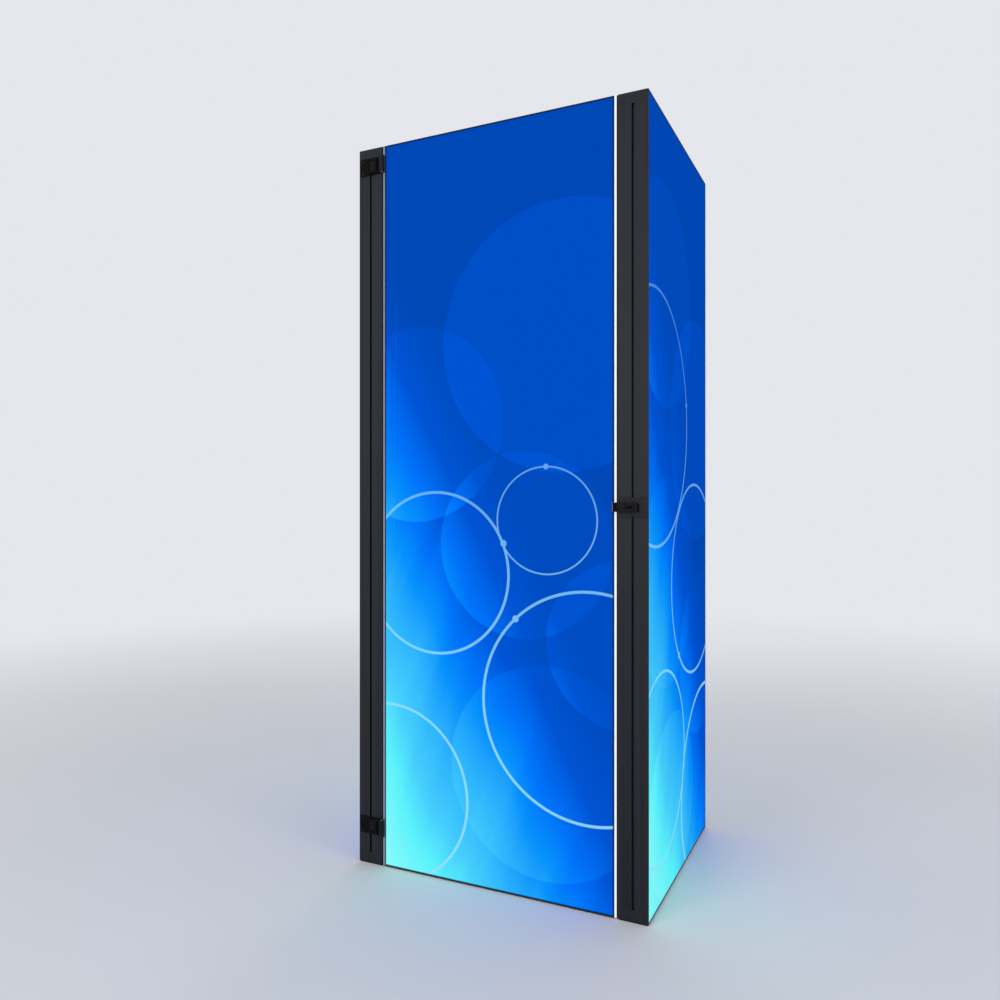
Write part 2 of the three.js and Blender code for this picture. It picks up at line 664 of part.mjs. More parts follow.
// Catch, with z counted from its middle
const CASING_BACK_Y = FRONT_Y - BRACKET_THICKNESS - 2 * SEAT_GAP;
const CASING_FACE_Y = CASING_BACK_Y - CASING_DEPTH;
const CASING_LOW_X = HALF_WIDTH - PANEL_THICKNESS + CASING_START;
const CASING_HIGH_X = CASING_LOW_X + CASING_WIDTH;
const POCKET_LOW_X = CASING_LOW_X + CASING_POCKET_INSET;
const POCKET_FLOOR_Y = CASING_FACE_Y + CASING_POCKET_DEPTH;
const BUTTON_X = POCKET_LOW_X + CASING_POCKET_WIDTH / 2 + BUTTON_SHIFT;
const BUTTON_FACE_Y = POCKET_FLOOR_Y - BUTTON_PROUD;
const BUTTON_BACK_Y = BUTTON_FACE_Y + BUTTON_LENGTH;
const SLOT_FLOOR_Y = CASING_BACK_Y - CASING_BACK_WALL;

function catchCasing() {
  const half = CASING_HEIGHT / 2;
  const outline = roundedRectangle(CASING_LOW_X, CASING_HIGH_X, -half, half, CASING_ROUND);
  const body = upright(outline, CASING_FACE_Y, CASING_BACK_Y, CASING_BEVEL);
  const front = CASING_FACE_Y - CUT_OVERRUN;
  const pocket = block(
    [POCKET_LOW_X, front, -CASING_POCKET_HEIGHT / 2],
    [POCKET_LOW_X + CASING_POCKET_WIDTH, POCKET_FLOOR_Y, CASING_POCKET_HEIGHT / 2],
  );
  const slot = block(
    [BUTTON_X - BUTTON_WIDTH / 2, front, -BUTTON_HEIGHT / 2],
    [BUTTON_X + BUTTON_WIDTH / 2, SLOT_FLOOR_Y, BUTTON_HEIGHT / 2],
  );
  const grooveHigh = CASING_HIGH_X - CASING_GROOVE_INSET;
  const groove = block(
    [grooveHigh - CASING_GROOVE_WIDTH, front, -CASING_HEIGHT],
    [grooveHigh, CASING_FACE_Y + CASING_GROOVE_DEPTH, CASING_HEIGHT],
  );
  const gripLow = CASING_LOW_X + GRIP_INSET;
  const grips = Array.from({ length: GRIP_COUNT }, (_, index) => {
    const middle = (index - (GRIP_COUNT - 1) / 2) * GRIP_PITCH;
    return block(
      [gripLow, front, middle - GRIP_HEIGHT / 2],
      [gripLow + GRIP_WIDTH, CASING_FACE_Y + GRIP_DEPTH, middle + GRIP_HEIGHT / 2],
    );
  });
  return cut(body, pocket, slot, groove, ...grips);
}

function catchButton() {
  const x = BUTTON_WIDTH / 2 - SEAT_GAP;
  const z = BUTTON_HEIGHT / 2 - SEAT_GAP;
  const outline = roundedRectangle(BUTTON_X - x, BUTTON_X + x, -z, z, BUTTON_ROUND);
  return upright(outline, BUTTON_FACE_Y, BUTTON_BACK_Y, BUTTON_ROUND / 2);
}

class Helix extends THREE.Curve {
  constructor(radius, length, turns) {
    super();
    Object.assign(this, { radius, length, turns });
  }

  getPoint(share, target = new THREE.Vector3()) {
    const angle = 2 * Math.PI * this.turns * share;
    const { radius, length } = this;
    return target.set(radius * Math.cos(angle), length * share, radius * Math.sin(angle));
  }
}

function catchSpring() {
  const endGap = SEAT_GAP + SPRING_WIRE_RADIUS;
  const low = BUTTON_BACK_Y + endGap;
  const helix = new Helix(SPRING_RADIUS, SLOT_FLOOR_Y - endGap - low, SPRING_TURNS);
  const steps = SPRING_TURNS * SPRING_STEPS_A_TURN;
  return tube(helix, SPRING_WIRE_RADIUS, SPRING_SIDES, steps).translate(BUTTON_X, low, 0);
}

// Tongue: a leaf on the door's edge with a bar that crosses the seam to the casing
function catchTongue() {
  const back = -SEAT_GAP - BRACKET_THICKNESS - TONGUE_CLEARANCE;
  const front = back - TONGUE_THICKNESS;
  const half = TONGUE_HEIGHT / 2;
  const seamAtCasing = STILE_GAP + CASING_START - TONGUE_CLEARANCE;
  const bar = seamBlock(1, [-TONGUE_LAP, front], [seamAtCasing, back], -half, half);
  const leaf = seamLeaf(1, back - TONGUE_THICKNESS / 2, TONGUE_HEIGHT, TONGUE_HEIGHT);
  return join(leaf, bar);
}

// Link bracket round a rear corner, keyed into both channels, with z counted from its middle
function rearLink(side) {
  const place = ([x, y]) => [side * x, y];
  const sideInner = HALF_WIDTH - PANEL_THICKNESS;
  const legOuter = sideInner - SEAT_GAP;
  const legInner = sideInner - REAR_GAP + SEAT_GAP;
  const keyX = HALF_WIDTH - HALF_THICKNESS;
  const keyY = REAR_Y - HALF_THICKNESS;
  const halfKey = KEY_WIDTH / 2;
  const seat = REAR_Y + SEAT_GAP;
  const keyedX = sideInner - REAR_GAP - KEY_DEPTH;
  const outline = [
    [HALF_WIDTH - BRACKET_INSET, seat],
    [HALF_WIDTH - BRACKET_INSET, seat + BRACKET_THICKNESS],
    [legInner, seat + BRACKET_THICKNESS],
    [legInner, keyY + halfKey],
    [keyedX, keyY + halfKey],
    [keyedX, keyY - halfKey],
    [legInner, keyY - halfKey],
    [legInner, REAR_Y - LEAF_LENGTH],
    [legOuter, REAR_Y - LEAF_LENGTH],
    [legOuter, seat],
    [keyX - halfKey, seat],
    [keyX - halfKey, REAR_Y - KEY_DEPTH],
    [keyX + halfKey, REAR_Y - KEY_DEPTH],
    [keyX + halfKey, seat],
  ];
  const half = BRACKET_HEIGHT / 2;
  const bracket = column(shapeOf(outline.map(place)), -half, half);
  const screwX = side * (HALF_WIDTH - LINK_SCREW_PLACE);
  const screwZ = half - SCREW_END_INSET;
  const face = seat + BRACKET_THICKNESS;
  const screws = [-screwZ, screwZ].map((z) => screwCut(screwX, z, face, 1));
  return cut(bracket, ...screws);
}

// Power inlet in the left panel's rear upright, in that panel's own frame
const INLET_EDGE_X = -TOWER_DEPTH / 2;

function inletCut() {
  return block(
    [INLET_EDGE_X - CUT_OVERRUN, -INLET_WIDTH / 2, INLET_RISE - INLET_HEIGHT / 2],
    [INLET_EDGE_X + INLET_DEPTH, INLET_WIDTH / 2, INLET_RISE + INLET_HEIGHT / 2],
  );
}

function inletForm() {
  const y = INLET_WIDTH / 2 - SEAT_GAP;
  const z = INLET_HEIGHT / 2 - SEAT_GAP;
  const flangeBack = INLET_EDGE_X - SEAT_GAP;
  const flangeFace = flangeBack - INLET_FLANGE_THICKNESS;
  const body = block([flangeFace, -y, -z], [INLET_EDGE_X + INLET_DEPTH - SEAT_GAP, y, z]);
  const flangeY = INLET_WIDTH / 2 + INLET_FLANGE_MARGIN;
  const flangeZ = INLET_HEIGHT / 2 + INLET_FLANGE_MARGIN;
  const flange = block([flangeFace, -flangeY, -flangeZ], [flangeBack, flangeY, flangeZ]);
  const socketY = SOCKET_WIDTH / 2;
  const socketZ = SOCKET_HEIGHT / 2;
  const socketOutline = [
    [-socketY, -socketZ],
    [socketY, -socketZ],
    [socketY, socketZ - SOCKET_CHAMFER],
    [socketY - SOCKET_CHAMFER, socketZ],
    [SOCKET_CHAMFER - socketY, socketZ],
    [-socketY, socketZ - SOCKET_CHAMFER],
  ];
  const socket = upright(shapeOf(socketOutline), 0, SOCKET_DEPTH + CUT_OVERRUN);
  socket.rotateZ(-Math.PI / 2).translate(flangeFace - CUT_OVERRUN, 0, 0);
  return cut(join(body, flange), socket).translate(0, 0, INLET_RISE);
}

// Power supply: a finned case standing in the bottom rail
const SUPPLY_LOW_X = INLET_EDGE_X + PROFILE_WIDTH + SUPPLY_OFFSET;
const SUPPLY_HIGH_X = SUPPLY_LOW_X + SUPPLY_WIDTH;

function supplyForm() {
  const half = SUPPLY_THICKNESS / 2;
  const pitch = SUPPLY_WIDTH / (2 * FIN_COUNT - 1);
  const fins = [];
  for (let fin = 0; fin < FIN_COUNT; fin += 1) {
    const left = SUPPLY_LOW_X + 2 * fin * pitch;
    const right = fin === FIN_COUNT - 1 ? SUPPLY_HIGH_X : left + pitch;
    fins.push([left, half - FIN_DEPTH], [left, half], [right, half], [right, half - FIN_DEPTH]);
  }
  const outline = [[SUPPLY_HIGH_X, -half], [SUPPLY_LOW_X, -half], ...fins];
  const foot = CHANNEL_DEPTH + PROFILE_WALL + SEAT_GAP;
  return column(shapeOf(outline), foot, foot + SUPPLY_HEIGHT);
}

// Lead from the supply to the lower end of the front light bar
function leadForm() {
  const seatX = TOWER_DEPTH / 2 - PROFILE_WIDTH + LIGHT_SEAT_DEPTH / 2;
  const barEnd = RAIL_HEIGHT + LIGHT_BAR_END - SEAT_GAP;
  const points = [
    [SUPPLY_HIGH_X + SEAT_GAP, LEAD_RISE],
    [SUPPLY_HIGH_X + LEAD_BEND, LEAD_RISE],
    [0, LEAD_RISE],
    [seatX - 3 * LEAD_BEND, LEAD_RISE],
    [seatX - LEAD_BEND, LEAD_RISE + LEAD_BEND / 3],
    [seatX - LEAD_BEND / 4, barEnd - LEAD_BEND],
    [seatX, barEnd - LEAD_BEND / 3],
    [seatX, barEnd],
  ];
  const path = new THREE.CatmullRomCurve3(points.map(([x, z]) => new THREE.Vector3(x, 0, z)));
  return tube(path, LEAD_RADIUS, LEAD_SIDES, LEAD_STEPS);
}

// Assembly
const tower = new THREE.Group();
const fixedBase = BASE_HEIGHT - SEAT_GAP;

const leftPanel = makePanel({
  name: "left_panel",
  width: TOWER_DEPTH,
  ends: ["rear", "front"],
  baseThickness: fixedBase,
  openings: { rear: [inletCut()] },
});
leftPanel.rotation.z = -Math.PI / 2;
leftPanel.position.set(HALF_THICKNESS - HALF_WIDTH, MIDDLE_Y, BASE_HEIGHT);
addPiece(leftPanel, "power_inlet", inletForm(), "casing");
addPiece(leftPanel, "power_supply", supplyForm(), "supply");
addPiece(leftPanel, "light_lead", leadForm(), "lead");

const rightPanel = makePanel({
  name: "right_panel",
  width: TOWER_DEPTH,
  ends: ["front", "rear"],
  baseThickness: fixedBase,
});
rightPanel.rotation.z = Math.PI / 2;
rightPanel.position.set(HALF_WIDTH - HALF_THICKNESS, MIDDLE_Y, BASE_HEIGHT);

const rearPanel = makePanel({
  name: "rear_panel",
  width: REAR_PANEL_WIDTH,
  ends: ["right", "left"],
  baseThickness: fixedBase,
});
rearPanel.rotation.z = Math.PI;
rearPanel.position.set(0, REAR_Y - HALF_THICKNESS, BASE_HEIGHT);

const door = makePanel({
  name: "door",
  width: DOOR_WIDTH,
  ends: ["hinge", "latch"],
  baseThickness: fixedBase - DOOR_BASE_CLEARANCE,
});
door.position.set(0, FRONT_Y + HALF_THICKNESS, BASE_HEIGHT);
tower.add(leftPanel, rightPanel, rearPanel, door);

const hingeHeights = {
  upper: TOWER_HEIGHT - UPPER_HINGE_DROP,
  lower: LOWER_HINGE_RISE,
};
const hingeNotches = Object.values(hingeHeights).map((z) => [z - BASE_HEIGHT, BARREL_HEIGHT]);
const tongueNotches = [[CATCH_RISE - BASE_HEIGHT, TONGUE_HEIGHT]];
const hingeStrip = addPiece(tower, "door_hinge_edge_strip", edgeStrip(-1, hingeNotches), "strip");
const latchStrip = addPiece(tower, "door_latch_edge_strip", edgeStrip(1, tongueNotches), "strip");
hingeStrip.position.z = BASE_HEIGHT;
latchStrip.position.z = BASE_HEIGHT;

for (const [name, height] of Object.entries(hingeHeights)) {
  const hinge = new THREE.Group();
  addPiece(hinge, `${name}_hinge_bracket`, hingeBracket(), "bracket");
  addPiece(hinge, `${name}_hinge_leaf`, hingeLeaf(), "bracket");
  addPiece(hinge, `${name}_hinge_pin`, hingePin(), "steel");
  hinge.position.z = height;
  tower.add(hinge);
}

const latch = new THREE.Group();
const catchPlate = edgePlate(1, BRACKET_INSET, -BRACKET_INSET, HALF_THICKNESS);
addPiece(latch, "catch_plate", catchPlate, "frame");
addPiece(latch, "catch_casing", catchCasing(), "casing");
addPiece(latch, "catch_button", catchButton(), "button");
addPiece(latch, "catch_spring", catchSpring(), "steel");
addPiece(latch, "catch_tongue", catchTongue(), "tongue");
latch.position.z = CATCH_RISE;
tower.add(latch);

const linkHeights = { upper: TOWER_HEIGHT - LINK_DROP, lower: LINK_RISE };
for (const [level, height] of Object.entries(linkHeights)) {
  for (const [end, side] of [["left", -1], ["right", 1]]) {
    const link = addPiece(tower, `${level}_${end}_rear_link`, rearLink(side), "bracket");
    link.position.z = height;
  }
}

export default tower;
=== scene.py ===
"""Look of the lit storage tower: cloth, small fittings, materials, floor, light and camera.

Everything is in metres in the tower's own frame: +Z up, the front towards -Y.
"""
import math

import bpy
import numpy as np
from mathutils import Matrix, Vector


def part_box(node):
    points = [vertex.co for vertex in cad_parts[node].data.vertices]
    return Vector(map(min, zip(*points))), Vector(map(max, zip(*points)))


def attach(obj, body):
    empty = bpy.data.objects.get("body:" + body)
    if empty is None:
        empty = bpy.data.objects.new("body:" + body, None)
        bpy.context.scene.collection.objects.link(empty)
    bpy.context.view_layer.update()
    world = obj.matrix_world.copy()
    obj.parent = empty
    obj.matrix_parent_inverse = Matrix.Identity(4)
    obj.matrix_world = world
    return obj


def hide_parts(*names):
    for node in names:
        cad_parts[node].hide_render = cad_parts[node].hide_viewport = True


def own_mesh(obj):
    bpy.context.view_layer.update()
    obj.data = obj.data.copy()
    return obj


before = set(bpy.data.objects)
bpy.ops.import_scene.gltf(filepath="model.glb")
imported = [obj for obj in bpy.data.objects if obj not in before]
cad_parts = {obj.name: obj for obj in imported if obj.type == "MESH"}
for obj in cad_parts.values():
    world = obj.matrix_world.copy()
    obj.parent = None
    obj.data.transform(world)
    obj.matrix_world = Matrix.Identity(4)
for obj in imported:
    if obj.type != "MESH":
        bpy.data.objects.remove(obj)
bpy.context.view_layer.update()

MM = 0.001
X_AXIS, Y_AXIS, Z_AXIS = range(3)
UP = Vector((0, 0, 1))
FRONT = Vector((0, -1, 0))
REAR = Vector((0, 1, 0))
LEFT = Vector((-1, 0, 0))
RIGHT = Vector((1, 0, 0))


# colours


def tone(red, green, blue):
    """A colour as seen on a screen, 0 to 255, as the linear colour of a shader."""

    def linear(value):
        share = value / 255
        return share / 12.92 if share <= 0.04045 else ((share + 0.055) / 1.055) ** 2.4

    return (linear(red), linear(green), linear(blue), 1.0)


def dimming(share):
    """The grey that takes a colour down to a share of itself when multiplied with it."""
    return (share, share, share, 1.0)


BLACK = (0, 0, 0, 1)
GRAPHITE_DARK = tone(29, 30, 34)
GRAPHITE_LIGHT = tone(38, 40, 46)
FITTING_BLACKS = (tone(9, 9, 10), tone(14, 14, 16))
# Lighter tone of edges, partly rubbed wear and partly a painted highlight
WEAR_AND_HIGHLIGHT = tone(74, 75, 78)


# shader graphs

# Parts of a noise's range that are spread over two tones or two roughnesses
NARROW = (0.35, 0.65)
BROAD = (0.3, 0.7)
# Cosine between a rounded normal and the face's own: on a flat, and full on an edge
FLAT_TO_EDGE = (0.995, 0.85)
# Edges painted lighter, partly rubbed wear and partly a painted highlight: the part of the
# noise's range, and the share that is lightened at its ends
WEAR_AND_HIGHLIGHT_RANGE = (0.4, 0.65)
WEAR_AND_HIGHLIGHT_SHARE = (0.1, 0.5)
BEVEL_SAMPLES = 4


class Graph:
    """The node tree of one material, with short calls for the nodes it is made of."""

    def __init__(self, name):
        self.material = bpy.data.materials.new(name)
        self.material.use_nodes = True
        self.tree = self.material.node_tree
        self.shader = self.tree.nodes["Principled BSDF"]
        self.place = self.node("ShaderNodeTexCoord").outputs["Object"]

    def node(self, kind, **settings):
        made = self.tree.nodes.new(kind)
        for key, value in settings.items():
            setattr(made, key, value)
        return made

    def feed(self, socket, value):
        """Links a node's output to a socket, or sets the socket's own value."""
        if isinstance(value, bpy.types.NodeSocket):
            self.tree.links.new(value, socket)
        else:
            socket.default_value = value

    def set(self, **values):
        """Feeds the shader's sockets, named with _ for a space."""
        for key, value in values.items():
            self.feed(self.shader.inputs[key.replace("_", " ")], value)

    def math(self, operation, *values):
        made = self.node("ShaderNodeMath", operation=operation)
        for socket, value in zip(made.inputs, values):
            self.feed(socket, value)
        return made.outputs[0]

    def plus(self, first, second):
        return self.math("ADD", first, second)

    def minus(self, first, second):
        return self.math("SUBTRACT", first, second)

    def times(self, first, second):
        return self.math("MULTIPLY", first, second)

    def weighted(self, first, second, weight):
        """The first value by its weight and the second by the rest."""
        return self.plus(self.times(first, weight), self.times(second, 1 - weight))

    def vector(self, operation, *values):
        made = self.node("ShaderNodeVectorMath", operation=operation)
        for socket, value in zip(made.inputs, values):
            self.feed(socket, value)
        return made.outputs["Value" if operation in ("DOT_PRODUCT", "DISTANCE") else "Vector"]

    def along(self, direction):
        """How far a point lies along a direction."""
        return self.vector("DOT_PRODUCT", self.place, direction)

    def distance(self, spot, x, y):
        """Distance from a fixed place in the plane z = 0."""
        return self.vector("DISTANCE", spot, Vector((x, y, 0)))

    def flat_place(self, x, y):
        """A place in the plane z = 0."""
        made = self.node("ShaderNodeCombineXYZ")
        self.feed(made.inputs[0], x)
        self.feed(made.inputs[1], y)
        return made.outputs[0]

    def noise(self, scale, detail=2.0, roughness=0.5, place=None):
        made = self.node("ShaderNodeTexNoise")
        self.feed(made.inputs["Vector"], place or self.place)
        self.feed(made.inputs["Scale"], scale)
        self.feed(made.inputs["Detail"], detail)
        self.feed(made.inputs["Roughness"], roughness)
        return made.outputs["Fac"]

    def streaks(self, axis, scale_across, scale_along, detail=3.0, roughness=0.6):
        """Noise that is drawn out along one axis."""
        factors = Vector((scale_across,) * 3)
        factors[axis] = scale_along
        return self.noise(1.0, detail, roughness, self.vector("MULTIPLY", self.place, factors))

    def span(self, value, low, high, to_low=0.0, to_high=1.0, smooth=False):
        """Spreads the range from low to high over another one, and holds it at its ends."""
        kind = "SMOOTHSTEP" if smooth else "LINEAR"
        made = self.node("ShaderNodeMapRange", interpolation_type=kind)
        for socket, number in zip(made.inputs, (value, low, high, to_low, to_high)):
            self.feed(socket, number)
        return made.outputs[0]

    def ramp(self, value, stops):
        made = self.node("ShaderNodeValToRGB")
        band = made.color_ramp
        while len(band.elements) < len(stops):
            band.elements.new(0.5)
        for element, (place, colour) in zip(band.elements, stops):
            element.position = place
            element.color = colour
        self.feed(made.inputs["Fac"], value)
        return made.outputs["Color"]

    def mix(self, share, first, second, blend="MIX"):
        made = self.node("ShaderNodeMix", data_type="RGBA", blend_type=blend)
        self.feed(made.inputs["Factor"], share)
        self.feed(made.inputs[6], first)
        self.feed(made.inputs[7], second)
        return made.outputs[2]

    def two_tone(self, value, part, dark, light):
        """From dark to light over a part of a noise's range."""
        return self.mix(self.span(value, *part), dark, light)

    def multiplied(self, colour, other):
        return self.mix(1.0, colour, other, "MULTIPLY")

    def bump(self, height, distance, strength=1.0, under=None):
        made = self.node("ShaderNodeBump")
        self.feed(made.inputs["Height"], height)
        self.feed(made.inputs["Distance"], distance)
        self.feed(made.inputs["Strength"], strength)
        if under is not None:
            self.feed(made.inputs["Normal"], under)
        return made.outputs["Normal"]

    def soft_edges(self, radius):
        made = self.node("ShaderNodeBevel", samples=BEVEL_SAMPLES)
        self.feed(made.inputs["Radius"], radius)
        return made.outputs["Normal"]

    def wear_and_highlight(self, rounded, patches):
        """How much lighter a coat is painted, partly rubbed wear and partly a painted highlight:
        none on the flats, most on the edges.
        """
        face = self.node("ShaderNodeNewGeometry").outputs["Normal"]
        edge = self.span(self.vector("DOT_PRODUCT", rounded, face), *FLAT_TO_EDGE)
        return self.times(edge, self.span(patches, *WEAR_AND_HIGHLIGHT_RANGE, *WEAR_AND_HIGHLIGHT_SHARE))


def coated(name, dark, light, roughness, grain, depth, metallic=0.0, specular=0.5, edge=0.0):
    """A coated or moulded surface: two close tones, fine grain, and edges painted lighter, partly
    rubbed wear and partly a painted highlight.
    """
    g = Graph(name)
    clouds = g.noise(9.0, detail=4.0, roughness=0.6)
    speckle = g.noise(grain, detail=2.0, roughness=0.6)
    patches = g.noise(26.0, detail=3.0, roughness=0.7)
    colour = g.two_tone(g.weighted(clouds, speckle, 0.7), NARROW, dark, light)
    under = None
    if edge:
        under = g.soft_edges(edge)
        colour = g.mix(g.wear_and_highlight(under, patches), colour, WEAR_AND_HIGHLIGHT)
    g.set(Base_Color=colour, Metallic=metallic, Specular_IOR_Level=specular)
    g.set(Roughness=g.span(patches, *BROAD, *roughness))
    g.set(Normal=g.bump(speckle, depth, 1.0, under))
    return g.material


def extruded(name, axis):
    """Satin graphite coat on an extruded profile: faint die lines along one axis."""
    g = Graph(name)
    lines = g.streaks(axis, 900.0, 0.6)
    bands = g.streaks(axis, 60.0, 0.35, detail=2.0, roughness=0.5)
    grain = g.noise(2400.0, detail=2.0, roughness=0.6)
    share = g.weighted(lines, bands, 0.35)
    g.set(Base_Color=g.two_tone(share, NARROW, GRAPHITE_DARK, GRAPHITE_LIGHT))
    g.set(Roughness=g.span(bands, *BROAD, 0.44, 0.56), Specular_IOR_Level=0.16)
    height = g.plus(g.times(lines, 0.5), grain)
    g.set(Normal=g.bump(height, 0.02 * MM, 0.8, g.soft_edges(0.25 * MM)))
    return g.material


def brushed(name, dark, light, axis, roughness):
    """Bare metal with fine lines along one axis."""
    g = Graph(name)
    lines = g.streaks(axis, 2600.0, 40.0)
    clouds = g.noise(40.0, detail=3.0, roughness=0.6)
    share = g.weighted(lines, clouds, 0.6)
    g.set(Base_Color=g.two_tone(share, BROAD, dark, light))
    g.set(Roughness=g.span(share, *BROAD, *roughness))
    g.set(Normal=g.bump(lines, 0.02 * MM, 0.6))
    g.set(Metallic=1.0)
    return g.material


# cloth materials

# The wash of the prints: from deep blue through bright blue to pale cyan
WASH = [
    (0.00, tone(0, 72, 182)),
    (0.10, tone(0, 76, 192)),
    (0.24, tone(0, 84, 212)),
    (0.36, tone(0, 116, 250)),
    (0.46, tone(8, 148, 253)),
    (0.58, tone(46, 182, 253)),
    (0.71, tone(70, 208, 253)),
    (0.82, tone(92, 244, 252)),
    (1.00, tone(142, 254, 252)),
]
# The wash runs down a slope over the face: deep blue where height plus steepness times width
# reaches its start, and palest at the foot on the left
WASH_STEEPNESS = 1.9
WASH_START = 2.15
# Soft streaks in the wash: their slope, their scale, and how far they sway it, low down only
STREAK_SLOPE = 2.6
STREAK_SCALE_ACROSS = 5.0
STREAK_SCALE_UP = 0.5
STREAK_SWAY = 0.22
STREAK_FADE = (1.9, 1.2)

DISC_SOFTNESS = 2 * MM
LINE_SOFTNESS = 1 * MM
LINE_COLOUR = tone(150, 226, 255)
# The lines are stronger near the foot: from and to height, and their strength there
LINE_FADE = (1.8, 0.4)
LINE_STRENGTH = (0.25, 0.85)

# Share of the print's colour that comes as light from behind
LIT_SHARE = 0.8
# Painted shade along the print's edges, where the strip is sewn behind: the band's width, its
# fade, and the share of light left in it
HEM_WIDTH = 2.0 * MM
HEM_FADE = 1.2 * MM
HEM_LIGHT = 0.35

KNIT_PITCH = 0.62 * MM
KNIT_DEPTH = 0.05 * MM
COURSES_A_WALE = 1.3


def knit(g, right, strength):
    """Fine vertical wales crossed by courses, as on knitted display cloth."""
    turn = 2 * math.pi / KNIT_PITCH
    wales = g.math("SINE", g.times(g.along(right), turn))
    courses = g.math("SINE", g.times(g.along(UP), turn * COURSES_A_WALE))
    slub = g.noise(700.0, detail=2.0, roughness=0.6)
    return g.bump(g.plus(g.times(wales, courses), slub), KNIT_DEPTH, strength)


def wash_level(g, u, v, steepness):
    """The wash along a slope, with long soft streaks in the same direction."""
    slope = g.plus(v, g.times(u, steepness))
    across = g.minus(u, g.math("DIVIDE", v, STREAK_SLOPE))
    spot = g.flat_place(g.times(across, STREAK_SCALE_ACROSS), g.times(v, STREAK_SCALE_UP))
    streaks = g.noise(1.0, detail=3.0, roughness=0.5, place=spot)
    low_down = g.span(slope, *STREAK_FADE, smooth=True)
    sway = g.times(g.minus(streaks, 0.5), g.times(low_down, STREAK_SWAY))
    return g.plus(g.span(slope, WASH_START, 0.0), sway)


def line_share(g, spot, rings, dots):
    """1 on the rings and the dots, 0 off them."""
    line = 0.0
    for u, v, radius, width in rings:
        off = g.math("ABSOLUTE", g.minus(g.distance(spot, u, v), radius))
        stroke = g.span(off, width / 2 + LINE_SOFTNESS, width / 2 - LINE_SOFTNESS)
        line = g.math("MAXIMUM", line, stroke)
    for u, v, radius in dots:
        off = g.distance(spot, u, v)
        stroke = g.span(off, radius + LINE_SOFTNESS, radius - LINE_SOFTNESS)
        line = g.math("MAXIMUM", line, stroke)
    return line


def hem_shade(g, u, v, size):
    """A grey that holds back the light where the edge strip is sewn behind the cloth: painted
    shade along the print's edges.
    """
    width, height = size
    edge = g.math("MINIMUM", g.math("MINIMUM", u, g.minus(width, u)),
                  g.math("MINIMUM", v, g.minus(height, v)))
    share = g.span(edge, HEM_WIDTH, HEM_WIDTH + HEM_FADE, HEM_LIGHT, 1.0, smooth=True)
    grey = g.node("ShaderNodeCombineColor")
    for socket in grey.inputs:
        g.feed(socket, share)
    return grey.outputs[0]


def print_material(name, right, origin, size, discs, rings, dots, steepness=WASH_STEEPNESS):
    """A backlit print. Places on it are u, from the face's left, and v, up from its foot."""
    g = Graph(name)
    u = g.minus(g.along(right), right.dot(origin))
    v = g.minus(g.along(UP), origin.z)
    spot = g.flat_place(u, v)

    level = wash_level(g, u, v, steepness)
    for centre_u, centre_v, radius, lift in discs:
        off = g.distance(spot, centre_u, centre_v)
        inside = g.span(off, radius + DISC_SOFTNESS, radius - DISC_SOFTNESS)
        level = g.plus(level, g.times(inside, lift))
    colour = g.ramp(g.math("MAXIMUM", level, 0.0), WASH)

    strength = g.span(v, *LINE_FADE, *LINE_STRENGTH)
    share = g.times(line_share(g, spot, rings, dots), strength)
    colour = g.mix(share, colour, LINE_COLOUR)

    g.set(Base_Color=g.multiplied(colour, dimming(1 - LIT_SHARE)))
    g.set(Emission_Color=g.multiplied(colour, hem_shade(g, u, v, size)))
    g.set(Emission_Strength=LIT_SHARE, Roughness=1.0, Specular_IOR_Level=0.0)
    g.set(Normal=knit(g, right, 0.25))
    return g.material


def liner_material(name, right):
    """Plain pale cloth, faintly lit from inside its panel."""
    g = Graph(name)
    clouds = g.noise(3.0, detail=3.0, roughness=0.5)
    colour = g.two_tone(clouds, NARROW, tone(205, 208, 212), tone(209, 212, 216))
    g.set(Base_Color=colour, Emission_Color=colour, Emission_Strength=0.08)
    g.set(Roughness=0.9, Specular_IOR_Level=0.15, Sheen_Weight=0.15)
    g.set(Normal=knit(g, right, 0.4))
    return g.material


# materials of the other pieces

# Radius of the hinge's barrel round its pin, and the fade of its gloss outside it
BARREL_REACH = 9.4 * MM
BARREL_FADE = 0.3 * MM
# Length of the tongue's tan metal end, its fade, and how ragged its edge is
TAN_END = 5.5 * MM
TAN_FADE = 1.6 * MM
TAN_RAGGED = 2.0 * MM
# The edge strips' milky front layer, and a black band painted on the left of the one at the
# hinges as the shade of the gap beside it
LENS_DEPTH = 1.2 * MM
LENS_FADE = 0.4 * MM
STRIP_SHADE_WIDTH = 1.2 * MM
STRIP_SHADE_FADE = 0.2 * MM
# Light points of the light bars: their spacing, and their edge in shares of it
POINT_PITCH = 0.05
POINT_EDGE = (0.16, 0.06)


def hinge_material():
    """Matt black coat, with a glossy layer on the barrel round the pin."""
    low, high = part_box("upper_hinge_pin")
    axis = (low + high) / 2
    g = Graph("hinge_metal")
    flat = g.vector("MULTIPLY", g.place, Vector((1, 1, 0)))
    reach = g.distance(flat, axis.x, axis.y)
    barrel = g.span(reach, BARREL_REACH + BARREL_FADE, BARREL_REACH)
    clouds = g.noise(30.0, detail=3.0, roughness=0.6)
    coat = g.two_tone(clouds, NARROW, *FITTING_BLACKS)
    rounded = g.soft_edges(0.5 * MM)
    # Edges painted lighter, partly rubbed wear and partly a painted highlight, except on the
    # barrel
    wear_and_highlight = g.times(g.wear_and_highlight(rounded, clouds), g.minus(1.0, barrel))
    g.set(Base_Color=g.mix(wear_and_highlight, coat, WEAR_AND_HIGHLIGHT), Specular_IOR_Level=0.05)
    g.set(Roughness=g.span(clouds, *BROAD, 0.44, 0.54))
    g.set(Coat_Weight=g.times(barrel, 0.36), Coat_Roughness=0.19, Coat_Normal=rounded)
    g.set(Normal=g.bump(clouds, 0.02 * MM, 0.5, rounded))
    return g.material


